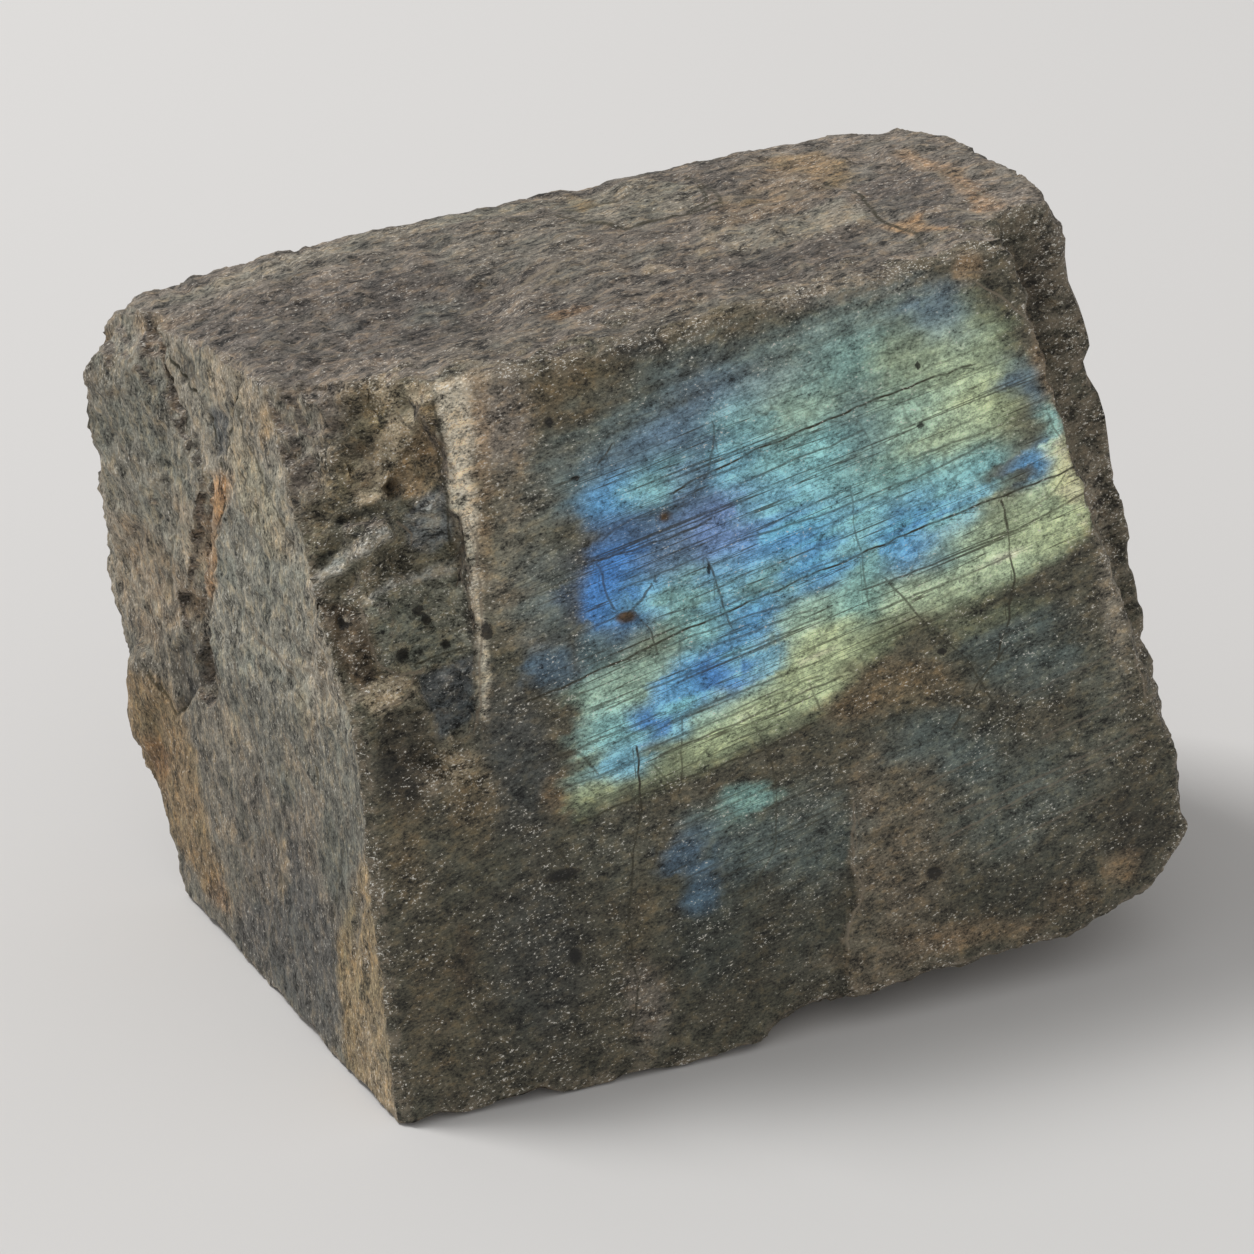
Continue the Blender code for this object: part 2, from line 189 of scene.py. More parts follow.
# Body of the stone on its faces, as it looks in soft light
BODY_COLOURS = {
    "olive": (70, 67, 56),
    "dark olive": (48, 47, 39),
    "charcoal": (44, 44, 42),
    "brown": (92, 79, 60),
    "tan": (128, 108, 84),
    "pale panel": (88, 81, 68),
    "blue grey": (104, 104, 96),
    "grey": (118, 113, 102),
    "brown grey": (110, 102, 93),
    "dark brown grey": (86, 80, 75),
    "ochre": (140, 116, 80),
    "orange": (150, 118, 84),
    "rust": (132, 94, 60),
    "cream": (156, 141, 118),
    "slate grey": (84, 86, 86),
    "umber": (86, 76, 58),
    "near black": (30, 28, 24),
    "dark umber": (56, 48, 38),
    "pale crumb": (158, 144, 120),
    # Pale crystals of the ledges, partly a painted highlight of ledges that face the lamp
    "pale crystal": (138, 138, 132),
    "charcoal blue": (52, 56, 58),
    "dark teal": (54, 60, 56),
    "grey olive": (76, 77, 68),
    "brown olive": (92, 84, 64),
    # Pale grey of the ridge's bevel, with a painted highlight of its side that faces the lamp
    "ridge grey": (158, 150, 134),
    "crumb brown": (70, 56, 42),
    "satin tan": (136, 127, 108),
    "sandy": (150, 131, 98),
    "pale plate": (134, 128, 114),
    "grey rim": (112, 106, 94),
}

# How crushed the plates of these colours are
CRUMBLY = {"pale crumb": 0.95, "pale crystal": 0.80, "cream": 0.35, "tan": 0.30, "charcoal": 0.25}

# Stains and tones of the cleavage face: right, up the slope, half sizes, colour, strength
FRONT_TONES = (
    (17.5, 66.0, 3.6, 6.0, "brown grey", 0.75), (25.0, 67.0, 5.0, 3.0, "umber", 0.70),
    (40.0, 71.6, 8.0, 2.0, "umber", 0.60), (52.0, 73.0, 8.0, 1.6, "brown grey", 0.70),
    (17.6, 52.0, 3.0, 9.0, "grey rim", 0.45), (23.0, 59.0, 4.0, 4.0, "grey rim", 0.40),
    (15.6, 33.0, 3.6, 8.0, "charcoal blue", 0.60), (10.5, 30.0, 2.6, 5.0, "umber", 0.60),
    (15.6, 14.0, 5.0, 9.0, "charcoal blue", 0.55), (6.0, 10.0, 4.0, 9.0, "umber", 0.45),
    (8.0, 15.0, 1.2, 3.0, "crumb brown", 0.60), (4.0, 27.0, 2.4, 6.0, "umber", 0.50),
    (24.0, 23.0, 5.0, 4.0, "grey olive", 0.60), (25.6, 7.0, 2.6, 4.5, "brown grey", 0.60),
    (26.4, 16.0, 1.6, 6.0, "umber", 0.50), (33.0, 12.0, 4.0, 6.0, "dark teal", 0.80),
    (34.6, 18.0, 4.0, 4.0, "dark teal", 0.60), (42.0, 16.0, 6.0, 9.0, "dark teal", 0.35),
    (44.0, 7.6, 5.0, 2.0, "grey olive", 0.60), (53.0, 34.2, 9.0, 2.8, "umber", 0.80),
    (50.0, 32.4, 4.0, 1.6, "brown", 0.45), (64.0, 40.0, 9.0, 1.8, "dark olive", 0.50),
    (68.0, 36.0, 8.0, 3.5, "dark teal", 0.55), (60.0, 27.0, 8.0, 4.0, "dark teal", 0.50),
    (18.4, 28.6, 1.8, 2.6, "brown", 0.70), (53.0, 19.0, 4.5, 9.0, "pale panel", 0.85),
    (56.0, 7.4, 12.0, 1.8, "tan", 0.50), (68.0, 18.0, 8.0, 8.0, "grey olive", 0.60),
    (66.0, 11.0, 8.0, 3.0, "dark olive", 0.45), (78.8, 42.0, 1.8, 13.0, "grey rim", 0.75),
    (77.0, 27.0, 3.0, 8.0, "grey olive", 0.70), (78.0, 11.0, 2.2, 2.0, "tan", 0.70),
    (80.0, 15.0, 3.6, 4.6, "near black", 0.50), (14.0, 15.0, 13.0, 14.0, "dark olive", 0.40),
    (34.0, 9.0, 9.0, 6.0, "dark olive", 0.40), (72.0, 9.0, 4.0, 2.0, "brown", 0.40),
    (74.4, 43.6, 3.0, 1.8, "olive", 0.60), (5.0, 33.6, 2.8, 4.6, "near black", 0.65),
    (12.4, 40.0, 2.0, 6.0, "charcoal", 0.45), (31.5, 70.6, 2.4, 1.8, "charcoal", 0.80),
    (65.0, 73.2, 1.8, 1.6, "tan", 0.80), (72.6, 64.0, 1.5, 7.0, "tan", 0.55),
)

# Stains and tones of the left face: back, up, half sizes, colour, strength
LEFT_TONES = (
    (12.0, 38.0, 4.0, 12.0, "grey", 0.80), (46.0, 46.0, 2.0, 2.4, "orange", 0.40),
    (38.4, 49.6, 1.2, 2.6, "rust", 0.70), (56.0, 8.0, 4.0, 5.0, "brown", 0.50),
    (39.0, 5.0, 3.0, 2.2, "orange", 0.50), (36.4, 25.4, 1.8, 2.2, "cream", 0.40),
    (30.0, 62.0, 1.2, 2.0, "ochre", 0.60), (61.5, 52.0, 1.5, 3.4, "charcoal", 0.60),
    (63.5, 57.0, 2.2, 2.0, "ochre", 0.60), (56.0, 62.0, 3.0, 1.6, "tan", 0.50),
    (32.0, 5.0, 4.0, 3.0, "brown grey", 0.50), (16.0, 22.6, 2.0, 1.6, "satin tan", 0.60),
    (24.0, 14.0, 12.0, 12.0, "dark brown grey", 0.40), (44.0, 41.0, 3.0, 3.0, "cream", 0.45),
    (50.0, 36.0, 6.0, 3.0, "charcoal", 0.35),
)

# Stains and tones of the top: right, back, half sizes, colour, strength
TOP_TONES = (
    (10.0, 56.0, 14.0, 3.0, "grey", 0.40), (54.0, 45.0, 3.0, 1.2, "ochre", 0.60),
    (57.0, 56.6, 2.0, 1.4, "cream", 0.50), (30.4, 18.6, 1.8, 1.8, "charcoal", 0.85),
    (-6.0, 52.0, 3.0, 1.2, "tan", 0.55), (34.0, 38.0, 6.0, 3.0, "grey", 0.35),
    (20.0, 26.0, 8.0, 2.6, "grey rim", 0.40), (42.0, 22.0, 14.0, 2.0, "grey rim", 0.50),
)

# Plates of the left face: corners as back, up, then soft edge, colour, strength, and height
LEFT_PLATES = (
    (((28.4, 55.2), (36.0, 60.6), (36.8, 54.4), (33.0, 50.6), (27.4, 48.4), (23.0, 50.4)),
      0.5, "satin tan", 0.60, 0.10),
    (((28.0, 60.5), (33.0, 66.5), (43.0, 66.0), (41.0, 58.6), (36.4, 61.4)), 0.6, "cream", 0.45, 0.0),
    (((37.4, 58.6), (40.6, 59.6), (41.6, 57.0), (39.6, 54.0), (37.8, 54.8)),
      0.35, "slate grey", 0.80, -0.35),
    (((35.6, 53.6), (39.4, 52.4), (42.0, 49.4), (43.4, 45.4), (44.4, 41.0), (40.6, 37.6), (38.8, 41.6),
      (39.4, 46.6), (36.8, 50.0)), 0.7, "orange", 0.60, -0.05),
    (((20.0, 50.0), (27.0, 48.6), (36.0, 51.0), (39.2, 46.0), (38.8, 41.0), (41.0, 36.0), (39.2, 31.0),
      (35.0, 28.0), (30.0, 25.6), (25.4, 22.0), (21.6, 25.4), (18.0, 28.0), (22.0, 34.0), (23.6, 38.4),
      (19.4, 42.0)), 0.5, "blue grey", 0.65, 0.05),
    (((8.6, 37.0), (12.0, 38.4), (18.0, 35.4), (19.4, 29.6), (17.0, 25.4), (18.0, 20.0), (14.0, 17.0),
      (11.6, 22.0), (8.0, 27.0)), 0.5, "blue grey", 0.70, -0.05),
    (((14.0, 14.0), (23.6, 20.4), (27.0, 10.4), (32.0, 8.0), (36.0, 1.0), (14.0, 0.5), (11.6, 8.0)),
      0.6, "slate grey", 0.55, 0.0),
    (((44.0, 55.0), (52.0, 61.6), (60.0, 60.0), (60.4, 47.0), (52.6, 42.4), (45.2, 43.4),
      (42.4, 50.0)), 0.8, "blue grey", 0.50, 0.10),
    (((60.4, 56.0), (67.0, 58.0), (67.0, 43.0), (60.4, 44.0)), 0.6, "brown grey", 0.6, -0.1),
    (((41.4, 36.4), (44.4, 35.4), (46.4, 32.0), (50.0, 28.0), (47.4, 21.6), (44.4, 25.6), (43.0, 27.8),
      (39.6, 27.2), (39.0, 30.2), (41.0, 33.2)), 0.3, "charcoal", 0.90, -0.55),
    (((44.6, 36.0), (51.0, 40.6), (60.4, 40.6), (63.0, 33.0), (58.4, 26.4), (52.4, 27.0), (50.4, 30.4),
      (46.6, 33.0)), 0.6, "tan", 0.45, -0.1),
    (((46.0, 20.4), (50.0, 24.4), (57.6, 24.0), (60.4, 16.0), (56.4, 9.6), (48.6, 5.6), (41.0, 3.4),
      (38.0, 7.6), (42.4, 13.6), (44.0, 19.0)), 0.8, "ochre", 0.60, 0.10),
    (((49.4, 16.4), (53.0, 17.0), (54.0, 12.6), (50.6, 11.4)), 0.9, "rust", 0.45, 0.0),
    (((5.0, 24.4), (8.4, 26.4), (10.4, 20.4), (13.4, 14.0), (12.4, 6.0), (10.4, -1.0), (1.0, -1.0),
      (3.6, 12.0)), 0.6, "sandy", 0.75, 0.05),
    (((2.6, 9.6), (7.4, 10.6), (9.0, 4.0), (7.4, -1.0), (0.0, -1.0)), 0.6, "cream", 0.50, 0.0),
    (((8.0, 21.0), (9.4, 21.4), (10.6, 15.0), (9.6, 14.0)), 0.3, "slate grey", 0.60, -0.2),
    (((24.0, 19.6), (25.2, 18.0), (25.8, 12.0), (24.6, 11.4), (23.6, 16.0)), 0.25, "cream", 0.85, 0.10),
    (((34.6, 16.4), (36.6, 14.4), (39.4, 12.2), (37.0, 11.6), (34.8, 13.4)), 0.3, "cream", 0.65, 0.08),
    (((18.4, 26.8), (22.0, 29.6), (24.6, 30.2), (24.2, 27.8), (20.0, 26.2)), 0.3, "cream", 0.60, 0.08),
    (((19.0, 33.8), (20.0, 37.0), (22.2, 37.6), (22.6, 34.0), (20.6, 31.8)),
      0.25, "satin tan", 0.5, 0.06),
    (((44.6, 62.4), (47.6, 62.0), (46.4, 59.4), (43.4, 59.8)), 0.3, "charcoal", 0.75, -0.4),
)

# Plates of the top: corners as right, back, then soft edge, colour, strength, and height
TOP_PLATES = (
    (((-4.0, 30.0), (14.0, 27.4), (20.0, 33.0), (24.0, 38.0), (20.0, 47.0), (10.0, 50.0),
      (-6.0, 52.0)), 1.5, "dark brown grey", 0.60, -0.05),
    (((14.0, 36.0), (19.0, 35.0), (20.6, 40.0), (15.6, 42.0)), 1.2, "blue grey", 0.55, 0.0),
    (((22.0, 41.0), (34.0, 42.0), (36.0, 50.0), (32.0, 56.0), (21.0, 54.0), (20.6, 47.0)),
      0.8, "grey", 0.45, 0.10),
    (((36.0, 50.0), (40.0, 46.2), (48.0, 47.2), (50.0, 53.0), (46.0, 58.6), (37.0, 57.6),
      (34.6, 54.0)), 0.35, "pale plate", 0.60, 0.22),
    (((37.0, 54.0), (39.4, 55.0), (38.6, 59.6), (36.8, 58.0)), 0.4, "ochre", 0.65, 0.1),
    (((46.0, 41.0), (50.0, 46.4), (57.0, 52.4), (60.0, 58.4), (66.4, 56.4), (64.4, 48.0), (62.0, 42.0),
      (54.4, 39.6)), 0.7, "tan", 0.55, -0.08),
    (((60.0, 58.0), (66.0, 57.0), (65.6, 47.0), (61.0, 44.0), (60.4, 50.0)), 0.8, "ochre", 0.45, 0.0),
    (((43.6, 33.0), (47.0, 37.6), (50.4, 41.0), (46.4, 42.6), (45.0, 38.6), (42.0, 34.6)),
      0.3, "cream", 0.40, 0.15),
    (((47.0, 38.0), (53.0, 40.0), (60.6, 38.6), (61.0, 33.0), (56.0, 31.8), (49.0, 33.0),
      (45.4, 33.0)), 0.35, "pale plate", 0.60, 0.18),
    (((53.6, 34.8), (58.4, 36.8), (60.2, 34.4), (57.0, 32.4)), 0.25, "cream", 0.40, 0.25),
    (((42.0, 30.6), (58.0, 31.4), (58.4, 27.4), (50.0, 24.6), (43.0, 26.0)),
      0.8, "dark brown grey", 0.60, -0.10),
    (((63.4, 44.0), (69.6, 43.4), (71.0, 36.4), (68.0, 31.4), (63.4, 32.4), (62.4, 38.4)),
      0.6, "dark brown grey", 0.75, -0.10),
    (((71.4, 44.0), (73.6, 42.4), (73.2, 35.0), (71.2, 34.4)), 0.4, "charcoal", 0.4, -0.1),
    (((61.0, 31.4), (66.0, 31.0), (64.4, 28.4), (66.6, 25.6), (62.8, 26.8)),
      0.35, "orange", 0.65, -0.05),
    (((64.6, 28.4), (68.0, 30.4), (69.6, 26.8), (66.8, 24.6)), 0.25, "dark brown grey", 0.75, 0.15),
    (((70.2, 50.0), (72.4, 50.0), (74.0, 40.0), (72.6, 28.0), (70.4, 28.0), (71.4, 38.0)),
      0.5, "orange", 0.40, -0.05),
    (((24.6, 29.0), (28.0, 30.6), (30.0, 29.2), (26.4, 28.2)), 0.3, "orange", 0.60, 0.0),
    (((37.0, 34.4), (39.6, 34.6), (39.4, 32.6), (36.6, 32.8)), 0.25, "cream", 0.70, 0.12),
    (((13.4, 24.2), (15.4, 24.4), (15.6, 22.6), (13.8, 22.2)), 0.25, "cream", 0.65, 0.12),
    (((34.0, 28.4), (39.4, 28.4), (40.0, 24.0), (34.4, 23.4)), 0.6, "tan", 0.40, 0.05),
    (((-8.0, 58.4), (2.0, 59.6), (20.4, 60.4), (44.0, 58.4), (44.0, 55.6), (20.0, 57.0), (0.0, 55.4)),
      1.0, "pale plate", 0.50, 0.05),
    (((50.2, 58.0), (57.4, 59.4), (58.6, 52.6), (52.0, 51.0)), 0.6, "dark brown grey", 0.35, 0.1),
)

# Plates of the broken ground left of the ridge, placed as they show: corners as right, up the
# slope, then soft edge, colour, strength, and how far the plate stands out or lies back
PLATES = (
    (((-4.6, 71.0), (6.0, 70.6), (6.6, 67.5), (4.2, 64.2), (2.6, 61.6), (0.5, 58.8), (-3.4, 54.5)),
      0.5, "brown olive", 0.85, 0.0),
    (((-4.6, 62.6), (-0.6, 62.0), (1.6, 60.4), (0.5, 58.8), (-3.4, 54.5)),
      1.0, "dark olive", 0.60, 0.0),
    (((-4.0, 72.0), (9.0, 72.0), (8.0, 69.4), (-3.4, 70.0)), 0.7, "cream", 0.55, 0.1),
    (((6.0, 70.6), (11.0, 70.4), (11.0, 68.0), (9.6, 67.6), (8.4, 64.6), (6.4, 62.6), (5.6, 60.0),
      (2.8, 59.4), (2.6, 61.6), (4.2, 64.2), (6.6, 67.5)), 0.35, "pale crumb", 0.80, -0.10),
    (((9.6, 67.6), (11.2, 67.8), (11.3, 61.0), (8.8, 59.6), (5.6, 60.0), (6.4, 62.6), (8.4, 64.6)),
      0.35, "brown", 0.80, -0.75),
    (((10.2, 67.8), (11.3, 67.8), (11.3, 64.0), (10.4, 64.4)), 0.4, "ochre", 0.45, -0.75),
    (((0.5, 58.8), (2.8, 59.4), (5.6, 60.0), (8.8, 59.6), (7.2, 57.2), (5.0, 57.6), (2.6, 56.4),
      (-0.6, 55.0), (-3.2, 53.4)), 0.4, "dark olive", 0.75, -0.50),
    (((8.8, 59.6), (11.3, 60.4), (11.8, 55.4), (9.6, 54.2), (7.2, 55.2), (7.0, 57.4)),
      0.30, "slate grey", 0.85, -0.35),
    # Ledges of pale crystals here and below, their paleness partly a painted highlight
    (((9.2, 58.6), (10.4, 58.8), (10.2, 56.2), (8.8, 56.6)), 0.25, "pale crystal", 0.60, -0.10),
    (((-3.2, 53.4), (-0.6, 55.0), (2.6, 56.4), (5.0, 57.8), (6.4, 57.4), (5.6, 56.2), (2.2, 55.0),
      (-0.4, 53.2), (-2.6, 51.8)), 0.45, "pale crystal", 0.80, 0.35),
    (((-2.6, 51.8), (-0.4, 53.2), (2.2, 55.0), (5.6, 56.2), (7.2, 55.2), (9.6, 54.2), (12.0, 54.0),
      (12.2, 53.0), (8.0, 52.8), (5.0, 52.6), (2.4, 51.2), (0.4, 51.0)), 0.30, "olive", 0.85, -0.25),
    (((2.4, 51.2), (5.0, 52.6), (8.0, 52.8), (12.2, 53.4), (12.3, 52.2), (8.0, 51.9), (5.0, 51.6),
      (2.8, 50.2)), 0.40, "pale crystal", 0.70, 0.20),
    (((-2.6, 51.8), (0.4, 51.0), (2.2, 49.8), (2.6, 46.0), (3.0, 43.6), (0.6, 42.0), (-0.6, 46.0)),
      0.35, "dark umber", 0.85, -0.65),
    (((2.8, 50.2), (5.0, 51.6), (12.3, 52.2), (12.4, 44.6), (9.4, 43.9), (6.4, 43.6), (3.6, 44.2),
      (2.9, 47.0)), 0.25, "grey olive", 0.85, 0.05),
    (((0.6, 42.0), (3.0, 43.6), (5.6, 43.4), (6.8, 42.0), (5.8, 40.6), (2.2, 39.8)),
      0.35, "pale crumb", 0.60, 0.10),
    (((6.6, 43.2), (9.4, 43.7), (12.2, 44.4), (11.9, 38.5), (8.2, 36.5), (7.2, 40.0)),
      0.25, "charcoal blue", 0.85, -0.30),
    (((8.8, 43.0), (10.8, 43.2), (9.8, 41.2)), 0.6, "slate grey", 0.60, -0.30),
    (((2.2, 39.6), (5.8, 40.4), (7.2, 39.8), (8.2, 36.5), (8.2, 33.2), (3.4, 32.4), (1.8, 36.0)),
      0.45, "near black", 0.55, -0.25),
    (((5.6, 33.6), (8.2, 35.0), (11.0, 34.6), (10.4, 32.2), (6.0, 31.6)), 0.8, "pale crumb", 0.40, 0.0),
    # Ridge's bevel: pale grey with a painted highlight
    (((11.3, 70.2), (14.6, 70.4), (14.3, 62.0), (13.9, 56.0), (13.6, 50.0), (13.6, 44.0), (13.0, 38.0),
      (12.4, 38.0), (12.9, 46.0), (12.4, 53.0), (11.5, 60.0)), 0.40, "ridge grey", 0.80, 0.0),
    (((14.0, 70.4), (16.8, 70.4), (15.8, 62.0), (14.8, 55.0), (13.9, 50.0), (13.9, 56.0),
      (14.2, 62.0)), 0.60, "tan", 0.50, 0.0),
    # Dark strip along the foot of the ridge's left wall: painted shade
    (((10.4, 67.0), (11.5, 67.0), (11.7, 60.0), (12.5, 52.6), (12.9, 45.0), (12.2, 45.0), (11.6, 52.6),
      (10.8, 60.0)), 0.35, "near black", 0.55, -0.30),
)

# Pits of that ground: right, up the slope, half width, depth
HOLES = (
    (6.5, 60.9, 0.85, 1.30), (0.2, 49.2, 0.70, 0.60), (8.0, 48.2, 0.50, 0.50), (5.3, 45.3, 0.75, 0.60),
    (9.6, 45.6, 0.45, 0.35), (13.7, 46.0, 0.55, 0.50), (8.0, 58.6, 0.50, 0.45),
)
SEEN_SHIFT = (0.24, -0.19)

# Dark mineral spots of the cleavage face: right, up the slope, half width, half height, depth
SPOTS = (
    (59.3, 65.0, 0.34, 0.38, 0.30), (59.1, 59.2, 0.36, 0.38, 0.30), (36.1, 48.6, 0.24, 0.70, 0.25),
    (46.5, 38.1, 0.22, 0.22, 0.20), (21.8, 64.8, 0.45, 0.55, 0.30), (23.8, 59.2, 0.42, 0.34, 0.30),
    (48.1, 43.0, 0.26, 0.30, 0.15), (59.6, 36.6, 0.50, 0.34, 0.25), (57.0, 14.2, 0.90, 0.70, 0.30),
    (18.6, 21.4, 1.60, 0.60, 0.35), (19.0, 13.2, 0.60, 0.90, 0.35), (22.6, 20.8, 0.40, 0.25, 0.20),
    (8.0, 48.8, 0.60, 0.50, 0.30), (13.8, 46.4, 0.50, 0.70, 0.35),
)

# Brown pit of crumbs in the deep blue patch
BROWN_PITS = (
    (27.5, 45.3, 1.10, 0.55, 0.35),
    (32.2, 54.3, 0.60, 0.50, 0.25),
)

# Seams between lamellae and cracks across them: corners as right, up the slope, then darkness
FRONT_LINES = (
    (((33.0, 56.3), (36.6, 57.7), (42.0, 59.3), (50.0, 61.2), (55.4, 62.6), (64.8, 64.3)), 1.0),
    (((58.0, 64.0), (66.0, 66.0)), 0.5), (((40.1, 56.4), (50.0, 58.7), (53.0, 59.5)), 0.75),
    (((26.0, 53.2), (28.7, 54.5), (34.6, 55.4)), 0.6),
    (((27.0, 48.1), (29.6, 48.6), (40.1, 50.9), (50.0, 52.5), (60.0, 54.6), (67.9, 57.1)), 0.7),
    (((34.5, 47.0), (39.2, 48.0)), 0.5),
    (((17.0, 38.9), (20.5, 39.7), (29.6, 42.2), (36.5, 43.9), (45.1, 46.1), (50.0, 47.2)), 1.0),
    (((50.0, 47.2), (58.5, 49.3), (67.9, 51.2), (76.0, 52.8)), 1.0),
    (((38.0, 44.9), (45.0, 46.6), (50.0, 47.8)), 0.6),
    (((32.8, 42.2), (39.9, 43.4), (45.1, 44.2)), 0.7), (((35.5, 40.9), (46.2, 43.1)), 0.7),
    (((24.6, 36.8), (29.6, 38.1), (34.6, 39.2), (40.1, 40.4), (47.4, 42.2)), 0.7),
    (((51.6, 44.0), (59.1, 45.4), (67.6, 47.1), (76.0, 49.9)), 0.85),
    (((52.0, 41.6), (60.0, 43.2), (67.8, 45.0)), 0.7),
    (((18.0, 32.9), (20.1, 33.3), (30.1, 35.5)), 0.7),
    (((30.5, 34.4), (36.5, 35.9), (41.2, 36.8), (45.5, 37.6)), 0.7),
    (((29.6, 31.5), (36.5, 32.9), (40.1, 33.8), (48.5, 35.9)), 0.8),
    (((29.6, 32.4), (39.4, 34.6), (46.5, 36.4)), 0.6), (((18.5, 29.6), (26.9, 31.3)), 0.6),
    (((20.5, 26.2), (29.6, 28.4), (40.1, 30.0), (45.5, 31.8)), 0.8),
    (((24.9, 51.1), (32.4, 52.2), (36.9, 53.4)), 0.9), (((46.0, 50.6), (55.0, 52.6)), 0.5),
    (((58.0, 56.2), (68.0, 58.1)), 0.6), (((66.0, 60.5), (73.0, 62.2)), 0.4),
    (((31.0, 24.0), (41.0, 26.4)), 0.5), (((40.0, 24.2), (45.5, 25.3)), 0.6),
    (((43.0, 26.6), (50.0, 28.0)), 0.5), (((30.0, 21.6), (36.0, 23.0)), 0.35),
    (((61.0, 39.6), (72.0, 42.0)), 0.35), (((52.0, 30.6), (60.0, 32.0)), 0.4),
    (((36.1, 49.4), (36.6, 46.6), (37.3, 44.2), (38.0, 42.6)), 0.8),
    (((27.3, 32.4), (27.1, 29.0), (26.9, 26.2)), 1.0),
    (((32.2, 34.6), (31.6, 31.0), (31.2, 27.6)), 0.7),
    (((35.4, 56.0), (36.6, 57.6), (37.4, 60.0), (37.8, 62.4)), 0.7),
    (((54.2, 44.8), (56.0, 42.6), (58.2, 39.4)), 0.8),
    (((67.2, 50.6), (67.7, 46.6), (67.9, 42.6), (67.0, 39.0), (65.6, 35.0)), 0.9),
    (((58.6, 39.2), (62.0, 35.4), (63.6, 33.0), (65.4, 29.6), (67.2, 26.2)), 0.7),
    (((60.0, 28.6), (63.6, 33.0), (66.2, 35.6)), 0.8),
    (((51.2, 54.0), (51.6, 48.4), (52.2, 42.4)), 0.6),
    (((27.9, 45.6), (29.4, 46.8), (30.7, 48.9)), 0.8),
    (((25.1, 50.6), (25.6, 48.4), (26.4, 46.2)), 0.7),
    (((28.6, 45.4), (29.6, 43.6), (30.0, 41.4)), 0.8),
    (((70.2, 49.2), (72.4, 50.4), (74.4, 52.2)), 0.6),
    (((21.0, 33.4), (22.2, 32.2), (23.0, 30.6)), 0.6), (((28.8, 30.6), (30.4, 27.8)), 0.6),
    (((33.2, 30.0), (34.8, 31.6)), 0.5),
    (((26.9, 27.0), (25.6, 21.0), (24.4, 15.0), (24.9, 9.0), (24.0, 5.0)), 0.85),
    (((38.6, 34.0), (40.2, 30.6), (41.0, 25.0), (40.4, 20.0), (37.8, 16.0)), 0.65),
    (((18.6, 24.0), (19.6, 21.0), (18.8, 17.4), (20.4, 13.0)), 0.7),
    (((7.0, 18.0), (7.6, 13.0), (8.6, 9.0)), 0.6), (((72.6, 58.4), (73.6, 56.6), (74.4, 55.2)), 0.6),
    (((62.0, 45.2), (61.2, 43.4)), 0.5), (((64.2, 48.4), (64.8, 45.4)), 0.4),
    (((45.4, 35.6), (46.4, 33.0)), 0.6), (((26.0, 60.2), (27.6, 61.8)), 0.8),
    (((52.6, 60.4), (53.8, 57.8), (53.0, 54.6)), 0.35),
    (((58.0, 17.5), (68.0, 20.4), (80.0, 23.2)), -0.50),
    (((60.0, 20.0), (72.0, 22.6), (81.0, 25.0)), -0.40), (((62.0, 15.0), (76.0, 18.6)), -0.40),
    (((50.0, 12.5), (58.0, 14.6)), -0.30), (((70.0, 26.0), (80.0, 28.6)), -0.40),
    (((55.0, 23.2), (64.0, 25.2)), -0.30), (((66.0, 30.0), (79.0, 33.5)), -0.25),
    (((2.4, 50.4), (2.8, 47.0), (3.4, 44.4), (5.2, 43.0), (7.2, 43.2)), -0.8),
    (((3.0, 40.6), (5.6, 41.2), (6.8, 43.0)), -0.7), (((7.4, 43.8), (9.4, 44.2), (12.0, 44.8)), 0.8),
    (((70.8, 73.0), (73.2, 67.0), (74.4, 61.0), (76.2, 55.5), (78.0, 50.0), (79.4, 44.0), (80.4, 36.0),
      (81.4, 28.0)), -0.8),
    (((66.0, 72.4), (70.0, 69.0), (73.0, 66.0)), -0.7),
    (((64.6, 73.4), (68.0, 73.0), (70.6, 74.6)), -0.5),
    (((13.5, 57.0), (13.6, 52.0), (13.3, 46.0), (12.6, 41.0), (12.0, 37.0)), -0.7),
    (((11.4, 68.0), (11.5, 60.0), (12.1, 54.0)), 0.7), (((7.2, 57.0), (8.6, 55.6), (8.4, 54.8)), -0.8),
    (((47.0, 8.2), (46.8, 9.3), (48.0, 11.8), (49.2, 14.0), (48.2, 16.8), (48.6, 19.3), (49.0, 22.7)),
      -0.7),
)

